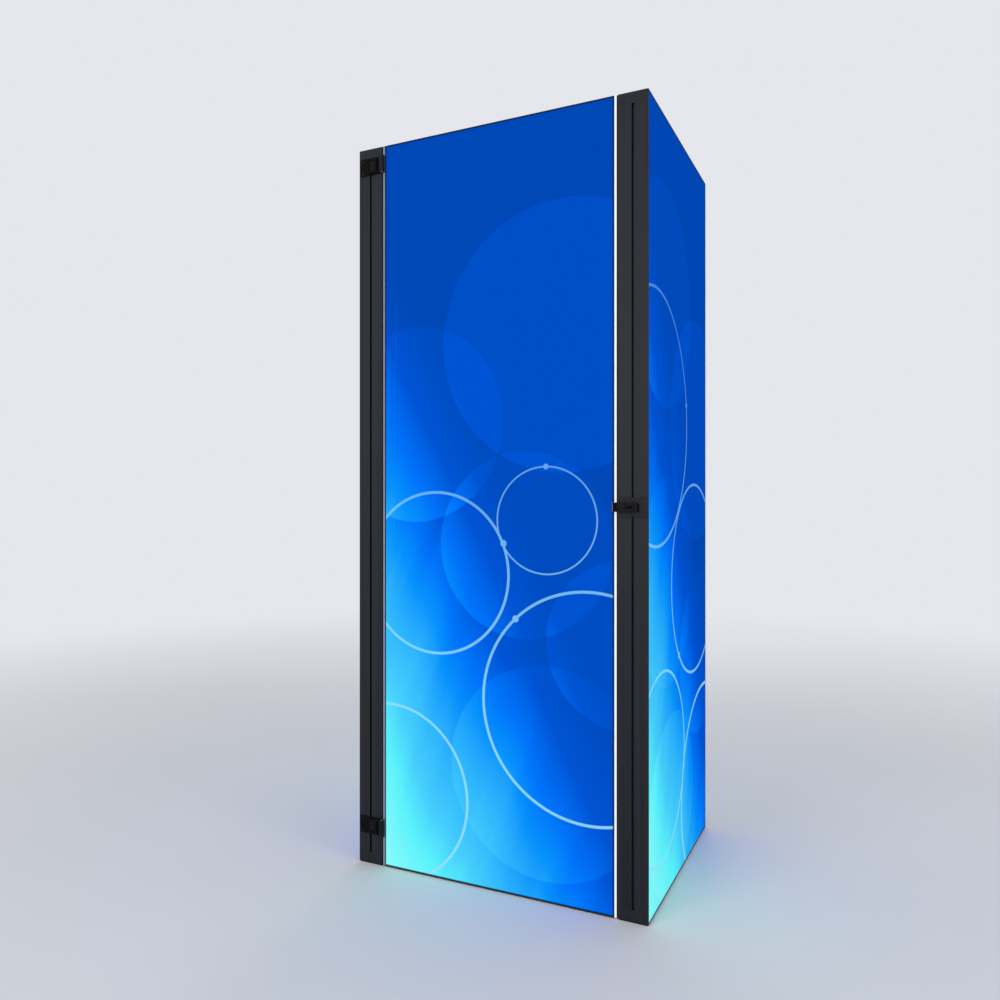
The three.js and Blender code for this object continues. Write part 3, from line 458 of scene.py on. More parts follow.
def tongue_material():
    """Dark bar with an end of tan metal, whose edge is ragged."""
    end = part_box("catch_tongue")[0].x + TAN_END
    g = Graph("tongue_metal")
    scratches = g.streaks(X_AXIS, 900.0, 90.0, roughness=0.7)
    ragged = g.plus(g.along(RIGHT), g.times(scratches, TAN_RAGGED))
    tan_share = g.span(ragged, end + TAN_FADE, end)
    dark = g.two_tone(scratches, NARROW, tone(4, 4, 5), tone(8, 8, 9))
    tan_metal = g.two_tone(scratches, NARROW, tone(122, 92, 76), tone(160, 124, 104))
    g.set(Base_Color=g.mix(tan_share, dark, tan_metal), Metallic=tan_share, Specular_IOR_Level=0.05)
    g.set(Roughness=g.span(scratches, *BROAD, 0.42, 0.58))
    g.set(Normal=g.bump(scratches, 0.02 * MM, 0.6, g.soft_edges(0.4 * MM)))
    return g.material


def glow_strip_material(name, node, tones, strength, shade_width=0.0):
    """Milky front face that glows from behind, on a black carrier, with a band of painted shade
    on its left when its width is given.
    """
    low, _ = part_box(node)
    g = Graph(name)
    milk = g.noise(60.0, detail=2.0, roughness=0.5)
    depth = g.minus(g.along(REAR), low.y)
    lens = g.span(depth, LENS_DEPTH + LENS_FADE, LENS_DEPTH)
    # Painted shade: a band on the strip's left is kept black, as the shade of the gap beside the
    # door
    if shade_width:
        across = g.minus(g.along(RIGHT), low.x)
        lens = g.times(lens, g.span(across, shade_width, shade_width + STRIP_SHADE_FADE))
    milky = g.two_tone(milk, BROAD, *tones)
    colour = g.mix(lens, tone(12, 12, 13), milky)
    g.set(Base_Color=g.multiplied(colour, dimming(1 - strength)))
    g.set(Emission_Color=g.mix(lens, BLACK, milky), Emission_Strength=strength)
    g.set(Roughness=0.45, Specular_IOR_Level=0.2, Normal=g.bump(milk, 0.02 * MM, 0.4))
    return g.material


def light_bar_material():
    """Pale base and a clear lens over evenly spaced light points."""
    g = Graph("light_bar")
    phase = g.math("FRACT", g.math("DIVIDE", g.along(UP), POINT_PITCH))
    off = g.math("ABSOLUTE", g.minus(phase, 0.5))
    point = g.span(off, *POINT_EDGE, smooth=True)
    frost = g.noise(300.0, detail=2.0, roughness=0.5)
    colour = g.two_tone(frost, BROAD, tone(222, 224, 226), tone(234, 236, 238))
    lit = g.mix(point, tone(120, 126, 132), tone(255, 255, 255))
    g.set(Base_Color=colour, Emission_Color=lit, Emission_Strength=1.0)
    g.set(Roughness=0.35, Normal=g.bump(frost, 0.05 * MM, 0.4))
    return g.material


ALONG_X = extruded("graphite_x", X_AXIS)
ALONG_Y = extruded("graphite_y", Y_AXIS)
ALONG_Z = extruded("graphite_z", Z_AXIS)
# Coats: dark and light tone, roughness from and to, scale and depth of the grain
plate_coat = coated("plate_coat", tone(26, 26, 29), tone(34, 34, 38), (0.44, 0.56),
                    2400.0, 0.03 * MM, specular=0.14, edge=0.5 * MM)
black_coat = coated("black_coat", *FITTING_BLACKS, (0.42, 0.54),
                    2600.0, 0.025 * MM, specular=0.05, edge=0.5 * MM)
clamp_coat = coated("clamp_coat", tone(15, 15, 17), tone(21, 21, 24), (0.42, 0.54),
                    2600.0, 0.025 * MM, specular=0.1, edge=0.4 * MM)
moulded = coated("moulded_black", tone(14, 14, 15), tone(20, 20, 22), (0.42, 0.56),
                 3200.0, 0.03 * MM, specular=0.08, edge=0.7 * MM)
# Painted shade: the button and its ribs are near black, as the shade of the catch's pocket that
# they sit in
shaded_button_black = coated("shaded_button_black", tone(2, 2, 2), tone(4, 4, 4), (0.4, 0.5),
                      3600.0, 0.02 * MM, specular=0.03, edge=0.2 * MM)
rubber = coated("base_rubber", tone(11, 11, 12), tone(19, 19, 20), (0.75, 0.9),
                1800.0, 0.05 * MM, specular=0.15)
lead_black = coated("lead_black", tone(14, 14, 15), tone(20, 20, 22), (0.55, 0.68),
                    2000.0, 0.03 * MM, specular=0.3)
silicone = coated("strip_silicone", tone(196, 198, 200), tone(210, 212, 214), (0.45, 0.55),
                  1500.0, 0.02 * MM, specular=0.4)
webbing = coated("tab_webbing", tone(84, 86, 90), tone(108, 110, 114), (0.8, 0.9),
                 1400.0, 0.08 * MM, specular=0.15)
screw_black = coated("screw_black", tone(22, 22, 24), tone(34, 34, 36), (0.34, 0.46),
                     3000.0, 0.01 * MM, metallic=0.6, specular=0.4, edge=0.2 * MM)
pin_steel = brushed("pin_steel", tone(118, 120, 123), tone(150, 152, 155), Z_AXIS, (0.28, 0.4))
supply_metal = brushed("supply_metal", tone(166, 168, 171), tone(190, 192, 195), Z_AXIS,
                       (0.38, 0.5))
brass = brushed("contact_brass", tone(176, 150, 96), tone(204, 180, 120), Y_AXIS, (0.25, 0.35))
# The two door edge strips are one milky strip; the glow of each is painted light: bright white at
# the latch, dim and bluish at the hinges
brightly_lit_strip = glow_strip_material("brightly_lit_strip", "door_latch_edge_strip",
                                   (tone(240, 246, 252), tone(250, 252, 255)), 0.6)
dimly_lit_strip = glow_strip_material("dimly_lit_strip", "door_hinge_edge_strip",
                                (tone(132, 140, 168), tone(140, 150, 176)), 0.25, STRIP_SHADE_WIDTH)
hinge_metal = hinge_material()
tongue_metal = tongue_material()
light_bar = light_bar_material()


# CAD nodes

PANELS = {
    "left_panel": ("front", "rear"),
    "right_panel": ("front", "rear"),
    "rear_panel": ("left", "right"),
    "door": ("hinge", "latch"),
}
LEVELS = ("upper", "lower")


def middle_of(node):
    """The middle of a CAD node's box."""
    low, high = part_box(node)
    return (low + high) / 2


def dress(material, *nodes):
    """Gives CAD nodes their material."""
    for node in nodes:
        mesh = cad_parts[node].data
        mesh.materials.clear()
        mesh.materials.append(material)


def dress_nodes():
    """Gives every CAD node that stays in view its material."""
    for panel, ends in PANELS.items():
        rail_coat = ALONG_Y if panel in ("left_panel", "right_panel") else ALONG_X
        dress(rail_coat, f"{panel}_top_rail", f"{panel}_bottom_rail")
        dress(rubber, f"{panel}_base_strip")
        for end in ends:
            dress(ALONG_Z, f"{panel}_{end}_upright")
            dress(light_bar, f"{panel}_{end}_light_bar")
    for level in LEVELS:
        dress(hinge_metal, f"{level}_hinge_bracket", f"{level}_hinge_leaf")
        dress(black_coat, f"{level}_left_rear_link", f"{level}_right_rear_link")
        dress(pin_steel, f"{level}_hinge_pin")
    dress(plate_coat, "catch_plate")
    dress(moulded, "catch_casing", "power_inlet")
    dress(shaded_button_black, "catch_button")
    dress(tongue_metal, "catch_tongue")
    dress(brightly_lit_strip, "door_latch_edge_strip")
    dress(dimly_lit_strip, "door_hinge_edge_strip")
    dress(supply_metal, "power_supply")
    dress(lead_black, "light_lead")


# mesh helpers


def add_mesh(name, points, faces, material, body, smooth_angle=35):
    """A piece from points and faces that rides on a body of the CAD model."""
    mesh = bpy.data.meshes.new(name)
    mesh.from_pydata([tuple(p) for p in points], [], faces)
    mesh.validate()
    mesh.update()
    mesh.polygons.foreach_set("use_smooth", [True] * len(mesh.polygons))
    mesh.set_sharp_from_angle(angle=math.radians(smooth_angle))
    obj = bpy.data.objects.new(name, mesh)
    bpy.context.scene.collection.objects.link(obj)
    mesh.materials.append(material)
    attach(obj, body)
    return obj


def thicken(obj, thickness, offset):
    """Turns a surface into a thin solid: offset 0 grows it both ways, -1 inwards only."""
    thick = obj.modifiers.new("thickness", "SOLIDIFY")
    thick.thickness = thickness
    thick.offset = offset
    with bpy.context.temp_override(object=obj, active_object=obj):
        bpy.ops.object.modifier_apply(modifier=thick.name)


def grid_faces(rows, columns, closed=False):
    """Quads between rows of points; with closed, each row joins its own end."""
    last = columns if closed else columns - 1
    return [
        (r * columns + c, r * columns + (c + 1) % columns,
         (r + 1) * columns + (c + 1) % columns, (r + 1) * columns + c)
        for r in range(rows - 1)
        for c in range(last)
    ]


def capped_faces(rows, columns):
    """Quads between closed rows of points, with a face over each end."""
    faces = grid_faces(rows, columns, closed=True)
    faces.append(tuple(reversed(range(columns))))
    faces.append(tuple(range((rows - 1) * columns, rows * columns)))
    return faces


# cloths

CLOTH_THICKNESS = 0.35 * MM
GRID_PITCH = 0.028
# Turn of the cloth over the edge strip, in mm: distance from its outline, depth below its face
EDGE_TURN = [(0.0, 7.9), (0.0, 4.5), (0.0, 1.6), (0.08, 1.0), (0.3, 0.5), (0.7, 0.22), (1.3, 0.1)]
# Grid lines near an edge, in mm from it
EDGE_STEPS = [3, 6, 11, 18, 30, 48]

# Depth of the cloth below its face, in mm
LEAST_DEPTH = 0.1
MOST_DEPTH = 0.7
# Short waves along the edges
SCALLOP_DEPTH = 0.22
SCALLOP_REACH = 0.018
SCALLOP_PITCH = 0.075
# Long folds out of the corners
FOLD_DEPTH = 0.30
FOLD_REACH = 0.10
FOLD_TURN = 14
# Slow billows over the whole face
BILLOW_DEPTH = 0.12
BILLOW_TURN_ACROSS = 3.1
BILLOW_TURN_UP = 1.7

# The silicone strip sewn behind the cloth's edge: section as inset and depth, in mm
STRIP_INSET = 0.45 * MM
STRIP_SECTION = [(0.0, 1.3), (2.0, 1.3), (2.0, 6.9), (1.6, 7.6), (0.4, 7.6), (0.0, 6.9)]

# Pull tab: place of its left edge from the cloth's right, and its path in mm, as distance up
# the cloth and depth below its face
TAB_PLACE = 75 * MM
TAB_WIDTH = 14 * MM
TAB_COLUMNS = 4
TAB_THICKNESS = 0.25 * MM
TAB_PATH = [(-0.15, 5.0), (-0.15, 1.0), (-0.12, 0.2), (0.0, -0.1), (0.4, -0.25),
            (2.0, -0.3), (6.0, -0.35), (11.0, -0.5), (16.0, -0.9), (19.0, -1.3)]


def cloth_lines(length):
    """Places of the grid lines over one direction, close together near both ends."""
    near = [step * MM for step in EDGE_STEPS]
    inner = np.linspace(near[-1], length - near[-1], max(3, round(length / GRID_PITCH)))
    return near[:-1] + list(inner) + [length - step for step in reversed(near[:-1])]


def cloth_depth(u, v, width, height, seed):
    """Slight waves under tension, different for each seed."""
    from_side, from_end = min(u, width - u), min(v, height - v)
    along = u if from_end < from_side else v
    wave = 0.5 + 0.5 * math.sin(2 * math.pi * along / SCALLOP_PITCH + seed)
    scallop = SCALLOP_DEPTH * math.exp(-min(from_side, from_end) / SCALLOP_REACH) * wave
    fan = math.atan2(from_end, from_side)
    fold = 0.5 + 0.5 * math.sin(fan * FOLD_TURN + seed)
    pull = FOLD_DEPTH * math.exp(-math.hypot(from_side, from_end) / FOLD_REACH) * fold
    sway = math.sin(BILLOW_TURN_ACROSS * u + seed) * math.sin(BILLOW_TURN_UP * v - seed)
    billow = BILLOW_DEPTH * (0.5 + 0.5 * sway)
    return min(LEAST_DEPTH + scallop + pull + billow, MOST_DEPTH) * MM


def frame_of(node, outward):
    """Lower left corner of a cloth's outer face, its right-hand direction and its size."""
    low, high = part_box(node)
    right = outward.cross(UP) * -1
    corner = Vector((0, 0, low.z))
    for axis in (X_AXIS, Y_AXIS):
        if abs(outward[axis]) > 0.5:
            corner[axis] = high[axis] if outward[axis] > 0 else low[axis]
        else:
            corner[axis] = low[axis] if right[axis] > 0 else high[axis]
    width = abs((high - low).dot(right))
    return corner, right, width, high.z - low.z


def cloth_mesh(at, width, height, seed):
    """Points and faces of a stretched cloth: a grid, and a turned edge round its outline."""
    us, vs = cloth_lines(width), cloth_lines(height)
    columns, rows = len(us), len(vs)
    border = (
        [(u, 0) for u in us] + [(width, 0)] + [(width, v) for v in vs] + [(width, height)]
        + [(u, height) for u in reversed(us)] + [(0, height)] + [(0, v) for v in reversed(vs)]
        + [(0, 0)]
    )
    count = len(border)
    points = []
    for inset_mm, depth_mm in EDGE_TURN:
        inset = inset_mm * MM
        for u, v in border:
            turned_u = min(max(u, inset), width - inset)
            turned_v = min(max(v, inset), height - inset)
            points.append(at(turned_u, turned_v, depth_mm * MM))
    faces = grid_faces(len(EDGE_TURN), count, closed=True)

    start = len(points)
    points += [at(u, v, cloth_depth(u, v, width, height, seed)) for v in vs for u in us]
    faces += [tuple(start + i for i in face) for face in grid_faces(rows, columns)]

    # Each side of the grid ends with its corner twice, once for the corner of the border
    numbers = start + np.arange(rows * columns).reshape(rows, columns)
    sides = (numbers[0], numbers[:, -1], numbers[-1, ::-1], numbers[::-1, 0])
    inner = [int(number) for side in sides for number in (*side, side[-1])]
    last = (len(EDGE_TURN) - 1) * count
    for step in range(count):
        after = (step + 1) % count
        quad = [last + step, last + after, inner[after], inner[step]]
        faces.append(tuple(dict.fromkeys(quad)))
    return points, faces


def sew_strip(name, at, width, height, body):
    """The silicone strip sewn behind the cloth's edge, with a tapered tip."""
    points = []
    for inset_mm, depth_mm in STRIP_SECTION:
        inset = STRIP_INSET + inset_mm * MM
        for u, v in ((inset, inset), (width - inset, inset),
                     (width - inset, height - inset), (inset, height - inset)):
            points.append(at(u, v, depth_mm * MM))
    faces = grid_faces(len(STRIP_SECTION), 4, closed=True)
    last = (len(STRIP_SECTION) - 1) * 4
    faces += [(last + c, last + (c + 1) % 4, (c + 1) % 4, c) for c in range(4)]
    return add_mesh(name, points, faces, silicone, body)


def sew_tab(name, at, width, body):
    """A ribbon that leaves the groove at the cloth's foot and lies folded over its face."""
    points = [
        at(width - TAB_PLACE + TAB_WIDTH * column / TAB_COLUMNS, along * MM, depth * MM)
        for along, depth in TAB_PATH
        for column in range(TAB_COLUMNS + 1)
    ]
    faces = grid_faces(len(TAB_PATH), TAB_COLUMNS + 1)
    tab = add_mesh(name, points, faces, webbing, body, smooth_angle=60)
    thicken(tab, TAB_THICKNESS, 0)
    return tab


def hang_cloth(node, outward, body, material, seed, with_tab=False):
    """A stretched cloth in place of its CAD node, with what is sewn to it."""
    corner, right, width, height = frame_of(node, outward)

    def at(u, v, depth):
        return corner + right * u + UP * v - outward * depth

    points, faces = cloth_mesh(at, width, height, seed)
    cloth = add_mesh(node + "_cloth", points, faces, material, body, smooth_angle=60)
    thicken(cloth, CLOTH_THICKNESS, -1)

    sewn_on = [sew_strip(node + "_strip", at, width, height, body)]
    if with_tab:
        sewn_on.append(sew_tab(node + "_tab", at, width, body))
    for piece in (cloth, *sewn_on):
        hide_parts(node)


# prints and liners

# Discs: centre across and up, radius, lift of tone
# Rings: centre, radius, width. Dots: centre, radius
PRINTS = [
    ("door_outer_print", FRONT, "door", dict(
        discs=[(0.66, 1.78, 0.43, 0.15), (0.12, 1.52, 0.33, 0.09), (0.52, 1.12, 0.30, 0.09),
               (0.60, 0.40, 0.34, 0.05), (0.86, 0.82, 0.26, 0.12)],
        rings=[(0.20, 1.02, 0.27, 0.009), (0.74, 0.62, 0.36, 0.009), (0.02, 0.26, 0.30, 0.009),
               (0.60, 1.20, 0.17, 0.005)],
        dots=[(0.452, 1.124, 0.011), (0.495, 0.883, 0.011), (0.60, 1.37, 0.009)],
    )),
    ("right_panel_outer_print", RIGHT, "tower", dict(
        discs=[(0.20, 1.92, 0.36, 0.09), (0.66, 1.52, 0.40, 0.10), (0.24, 1.00, 0.34, 0.03),
               (0.70, 0.70, 0.30, 0.06), (0.30, 0.26, 0.30, 0.05)],
        rings=[(0.10, 1.52, 0.40, 0.009), (0.62, 0.98, 0.34, 0.009), (0.16, 0.42, 0.30, 0.009),
               (0.78, 0.20, 0.36, 0.012)],
        dots=[(0.493, 1.598, 0.011), (0.383, 0.736, 0.011), (0.45, 0.342, 0.011)],
        steepness=1.7,
    )),
    ("left_panel_outer_print", LEFT, "tower", dict(
        discs=[(0.62, 2.00, 0.36, 0.15), (0.16, 1.46, 0.38, 0.12), (0.60, 0.90, 0.36, 0.07),
               (0.14, 0.40, 0.32, 0.05)],
        rings=[(0.70, 1.36, 0.30, 0.009), (0.22, 0.86, 0.34, 0.009), (0.70, 0.30, 0.34, 0.009)],
        dots=[(0.419, 1.463, 0.011), (0.541, 0.747, 0.011)],
    )),
    ("rear_panel_outer_print", REAR, "tower", dict(
        discs=[(0.20, 1.86, 0.40, 0.15), (0.74, 1.42, 0.34, 0.13), (0.30, 0.98, 0.32, 0.07),
               (0.66, 0.42, 0.36, 0.05)],
        rings=[(0.62, 1.10, 0.32, 0.009), (0.10, 0.70, 0.34, 0.009), (0.56, 0.10, 0.40, 0.009)],
        dots=[(0.336, 1.249, 0.011), (0.441, 0.7, 0.011)],
    )),
]
LINERS = [
    ("door_inner_liner", REAR, "door"),
    ("right_panel_inner_liner", LEFT, "tower"),
    ("left_panel_inner_liner", RIGHT, "tower"),
    ("rear_panel_inner_liner", FRONT, "tower"),
]
FIRST_LINER_SEED = 7


def hang_prints():
    """The printed cloth on the outside of each panel."""
    for seed, (node, outward, body, pattern) in enumerate(PRINTS):
        corner, right, width, height = frame_of(node, outward)
        printed = print_material(node + "_dye", right, corner, (width, height), **pattern)
        hang_cloth(node, outward, body, printed, seed)


def hang_liners():
    """The plain cloth on the inside of each panel."""
    for seed, (node, outward, body) in enumerate(LINERS, FIRST_LINER_SEED):
        _, right, _, _ = frame_of(node, outward)
        plain = liner_material(node + "_knit", right)
        hang_cloth(node, outward, body, plain, seed, with_tab=True)


# screws

# Profiles of the screws: radius, height, and whether the ring is a hexagon.
# The sunk screw's are in mm, the cap screw's in radii of its head.
SUNK_SCREW = [
    (2.2, -3.8, False),
    (2.2, -1.75, False),
    (4.2, -1.6, False),
    (4.2, -0.9, False),
    (3.948, -0.6, False),
    (3.15, -0.35, False),
    (1.65, -0.22, True),
    (1.5, -0.35, True),
    (1.5, -1.35, True),
]
CAP_SCREW = [
    (1.0, 0.0, False),
    (1.0, 0.42, False),
    (0.9, 0.5, False),
    (0.5, 0.5, True),
    (0.46, 0.46, True),
    (0.46, 0.15, True),
]
SCREW_SIDES = 24
# Heights of the two screws of a plate over and under its middle, and their insets
SCREW_RISE = 21.7 * MM
HINGE_SCREW_INSET = 10.5 * MM
LINK_SCREW_INSET = 11 * MM
# The catch plate and the hinge brackets have their faces in one plane
PLATE_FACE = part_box("catch_plate")[0].y


def hexagon_radius(angle, across):
    """Distance from the middle to the side of a hexagon that is `across` wide over its flats."""
    sixth = math.pi / 3
    return across / 2 / math.cos((angle % sixth) - sixth / 2)


def screw(name, profile, unit, seat, outward):
    """A screw turned from a profile in some unit of length, closed at both ends."""
    seat = Vector(seat)
    side = UP
    other = outward.cross(side)
    points = []
    for share, height, hexagonal in profile:
        radius = share * unit
        for step in range(SCREW_SIDES):
            angle = 2 * math.pi * step / SCREW_SIDES
            reach = hexagon_radius(angle, 2 * radius) if hexagonal else radius
            offset = side * (reach * math.cos(angle)) + other * (reach * math.sin(angle))
            points.append(seat + offset + outward * (height * unit))
    faces = grid_faces(len(profile), SCREW_SIDES, closed=True)
    first = len(points)
    points += [seat + outward * (profile[end][1] * unit) for end in (0, -1)]
    start = (len(profile) - 1) * SCREW_SIDES
    for step in range(SCREW_SIDES):
        after = (step + 1) % SCREW_SIDES
        faces.append((first, after, step))
        faces.append((first + 1, start + step, start + after))
    return add_mesh(name, points, faces, screw_black, "tower")


def screw_pair(name, x, y, z, outward):
    """Two sunk screws, over and under a place on a plate's face."""
    for place, rise in (("top", SCREW_RISE), ("foot", -SCREW_RISE)):
        screw(f"{name}_{place}", SUNK_SCREW, MM, (x, y, z + rise), outward)


def fit_sunk_screws():
    """The screws of the catch plate, the hinge brackets and the rear links."""
    channel_x = middle_of("right_panel_front_upright").x
    screw_pair("catch_screw", channel_x, PLATE_FACE, middle_of("catch_plate").z, FRONT)
    for level in LEVELS:
        bracket = f"{level}_hinge_bracket"
        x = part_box(bracket)[0].x + HINGE_SCREW_INSET
        screw_pair(f"{level}_hinge_screw", x, PLATE_FACE, middle_of(bracket).z, FRONT)
        for side in ("left", "right"):
            link = f"{level}_{side}_rear_link"
            low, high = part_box(link)
            x = low.x + LINK_SCREW_INSET if side == "left" else high.x - LINK_SCREW_INSET
            screw_pair(f"{level}_{side}_link_screw", x, high.y, middle_of(link).z, REAR)


# small plates: clamps, ribs and blades

CORNER_STEPS = 6
PLATE_EASING = 0.3 * MM
SHARPEST_CORNER = 0.05 * MM

CLAMP_PLACE = 50.75 * MM
CLAMP_SIZE = (16.4 * MM, 34 * MM, 1.9 * MM)
CLAMP_ROUNDING = 1.5 * MM
CLAMP_SEAT = 1.5 * MM
CLAMP_SCREW_RISE = 10.5 * MM
CLAMP_SCREW_RADIUS = 2.9 * MM

RIB_PLACES = (-4.5 * MM, -1.5 * MM, 1.5 * MM, 4.5 * MM)
RIB_SIZE = (0.9 * MM, 4.6 * MM, 0.35 * MM)
RIB_ROUNDING = 0.4 * MM
RIB_EASING = 0.12 * MM

SOCKET_DEPTH = 15 * MM
BLADES = {"left": (-7 * MM, -1.6 * MM), "right": (7 * MM, -1.6 * MM), "earth": (0, 2.4 * MM)}
BLADE_SIZE = (2 * MM, 4 * MM, 12 * MM)
BLADE_ROUNDING = 0.5 * MM
FLANGE_SCREWS = {"left": -17.8 * MM, "right": 17.8 * MM}
FLANGE_SCREW_RADIUS = 1.6 * MM


def plate(name, seat, size, outward, material, body, rounding, easing=PLATE_EASING):
    """A small plate with rounded corners and eased edges, standing on its seat."""
    across = UP.cross(outward)
    width, height, depth = size

    def outline(inset):
        points = []
        radius = max(rounding - inset, SHARPEST_CORNER)
        for corner in range(4):
            sign_u = 1 if corner in (0, 3) else -1
            sign_v = 1 if corner in (0, 1) else -1
            middle_u = sign_u * (width / 2 - inset - radius)
            middle_v = sign_v * (height / 2 - inset - radius)
            for step in range(CORNER_STEPS + 1):
                angle = math.pi / 2 * (corner + step / CORNER_STEPS)
                points.append((middle_u + radius * math.cos(angle),
                               middle_v + radius * math.sin(angle)))
        return points

    rows = [(0, 0), (0, depth - easing), (easing * 0.3, depth - easing * 0.3), (easing, depth)]
    points = [
        seat + across * u + UP * v + outward * rise
        for inset, rise in rows
        for u, v in outline(inset)
    ]
    faces = capped_faces(len(rows), 4 * (CORNER_STEPS + 1))
    return add_mesh(name, points, faces, material, body)


def fit_clamps():
    """The clamp plate in each hinge bracket's pocket, with its two cap screws."""
    for level in LEVELS:
        bracket = f"{level}_hinge_bracket"
        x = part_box(bracket)[0].x + CLAMP_PLACE
        seat = Vector((x, PLATE_FACE - CLAMP_SEAT, middle_of(bracket).z))
        plate(f"{level}_clamp", seat, CLAMP_SIZE, FRONT, clamp_coat, "tower",
              CLAMP_ROUNDING)
        for place, rise in (("top", CLAMP_SCREW_RISE), ("foot", -CLAMP_SCREW_RISE)):
            spot = seat + FRONT * CLAMP_SIZE[2] + UP * rise
            screw(f"{level}_clamp_screw_{place}", CAP_SCREW, CLAMP_SCREW_RADIUS, spot, FRONT)


def fit_button_ribs():
    """Ribs on the button's face."""
    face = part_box("catch_button")[0].y
    middle = middle_of("catch_button")
    for number, place in enumerate(RIB_PLACES):
        seat = Vector((middle.x + place, face, middle.z))
        plate(f"button_rib_{number}", seat, RIB_SIZE, FRONT, shaded_button_black, "button",
              RIB_ROUNDING, RIB_EASING)


def fit_inlet():
    """Blades in the inlet's socket and the screws of its flange."""
    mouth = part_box("power_inlet")[1].y
    middle = middle_of("power_inlet")
    for name, (x, z) in BLADES.items():
        seat = Vector((middle.x + x, mouth - SOCKET_DEPTH, middle.z + z))
        plate(f"inlet_blade_{name}", seat, BLADE_SIZE, REAR, brass, "tower",
              BLADE_ROUNDING)
    for name, x in FLANGE_SCREWS.items():
        spot = (middle.x + x, mouth, middle.z)
        screw(f"inlet_screw_{name}", CAP_SCREW, FLANGE_SCREW_RADIUS, spot, REAR)


# light seals, black to stand for the shade in the door's gaps, and the button's spring

# Seals, black beads that stand as painted shade in the door's gaps: a bead on a flat foot, back
# from the upright's front and clear of what interrupts it
SHADING_SEAL_SETBACK = 0.8 * MM
SHADING_SEAL_WIDTH = 2.2 * MM
SHADING_SEAL_HEIGHT = 2.4 * MM
SHADING_SEAL_SPACING = 2.0 * MM
SHADING_SEAL_STEPS = 8
SHADING_SEALS = (
    ("hinge_shading_seal", "left_panel_front_upright", 1, ("lower_hinge_bracket", "upper_hinge_bracket")),
    ("latch_shading_seal", "right_panel_front_upright", -1, ("catch_plate",)),
)

SPRING_WIRE = 0.25 * MM
SPRING_TURNS = 4
WIRE_SIDES = 10
STEPS_A_TURN = 24


def shading_seal(name, edge, side, low_z, high_z):
    """A black rubber bead on a front upright's lip, put there as painted shade that darkens the
    gap beside the door.
    """
    front = edge.y + SHADING_SEAL_SETBACK
    half = SHADING_SEAL_HEIGHT / 2
    flat = SHADING_SEAL_WIDTH - half
    section = [(0, 0)]
    for step in range(SHADING_SEAL_STEPS + 1):
        angle = math.pi * (step / SHADING_SEAL_STEPS - 0.5)
        section.append((flat + half * math.cos(angle), half + half * math.sin(angle)))
    section.append((0, SHADING_SEAL_HEIGHT))
    if side < 0:
        section.reverse()
    points = [(edge.x + side * s, front + t, z) for z in (low_z, high_z) for s, t in section]
    return add_mesh(name, points, capped_faces(2, len(section)), rubber, "tower")


def fit_shading_seals():
    """Black light seals in the gaps beside the door, as painted shade there, interrupted at the
    hinges and at the catch.
    """
    strip_low, strip_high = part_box("door_hinge_edge_strip")
    for name, upright, side, breaks in SHADING_SEALS:
        low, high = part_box(upright)
        edge = Vector((high.x if side > 0 else low.x, low.y, 0))
        ends = [strip_low.z + SHADING_SEAL_SPACING]
        for node in breaks:
            low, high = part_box(node)
            ends += [low.z - SHADING_SEAL_SPACING, high.z + SHADING_SEAL_SPACING]
        ends.append(strip_high.z - SHADING_SEAL_SPACING)
        for number, (start, end) in enumerate(zip(ends[::2], ends[1::2])):
            shading_seal(f"{name}_{number}", edge, side, start, end)


def coil_spring(name, node, body, material):
    """A round wire wound along y, in the room of the CAD spring."""
    low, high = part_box(node)
    middle = (low + high) / 2
    radius = (high.x - low.x) / 2 - SPRING_WIRE
    length = high.y - low.y - 2 * SPRING_WIRE
    rows = SPRING_TURNS * STEPS_A_TURN + 1
    points = []
    for row in range(rows):
        angle = 2 * math.pi * row / STEPS_A_TURN
        away = Vector((math.cos(angle), 0, math.sin(angle)))
        y = low.y + SPRING_WIRE + length * row / (rows - 1)
        centre = Vector((middle.x, y, middle.z)) + away * radius
        for side in range(WIRE_SIDES):
            turn = 2 * math.pi * side / WIRE_SIDES
            points.append(centre + (away * math.cos(turn) + REAR * math.sin(turn)) * SPRING_WIRE)
    return add_mesh(name, points, capped_faces(rows, WIRE_SIDES), material, body)


def fit_spring():
    """The spring behind the button, which the button's stroke presses together in the catch; here
    it is wound at one length, with a mesh of its own.
    """
    spring = coil_spring("button_coil", "catch_spring", "tower", pin_steel)
    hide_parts("catch_spring")
    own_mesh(spring)


# floor, light and camera

BACKDROP = (0.93, 0.95, 1.0, 1)
BACKDROP_STRENGTH = 0.84
WORLD_STRENGTH = 0.7
# Distance from the tower over which the floor fades into the backdrop
FLOOR_FADE = (1.6, 7.0)
FLOOR_REACH = 60

# Area lamps: place, what they point at, size and power
LAMPS = {
    "key": ((-1.3, -5.0, 2.4), (0, -0.4, 1.2), (2.2, 2.6), 80),
    "side": ((5.0, -1.5, 2.6), (0.5, 0, 1.2), (2.4, 2.4), 44),
    "back": ((-1.0, 5.5, 3.0), (0, 0.4, 1.2), (2.4, 2.4), 44),
}

# The camera fitted to the photo: it looks level, turned to the left
CAMERA_PLACE = (1.1769, -2.8063, 1.2719)
CAMERA_YAW = 25.55
CAMERA_LENS = 29.583
CAMERA_SENSOR = 36


def seen_rays(tree):
    """1 for rays that see the background directly, in a gloss or through glass."""
    path = tree.nodes.new("ShaderNodeLightPath")
    share = path.outputs["Is Camera Ray"]
    for name in ("Is Glossy Ray", "Is Transmission Ray"):
        larger = tree.nodes.new("ShaderNodeMath")
        larger.operation = "MAXIMUM"
        tree.links.new(share, larger.inputs[0])
        tree.links.new(path.outputs[name], larger.inputs[1])
        share = larger.outputs[0]
    return share


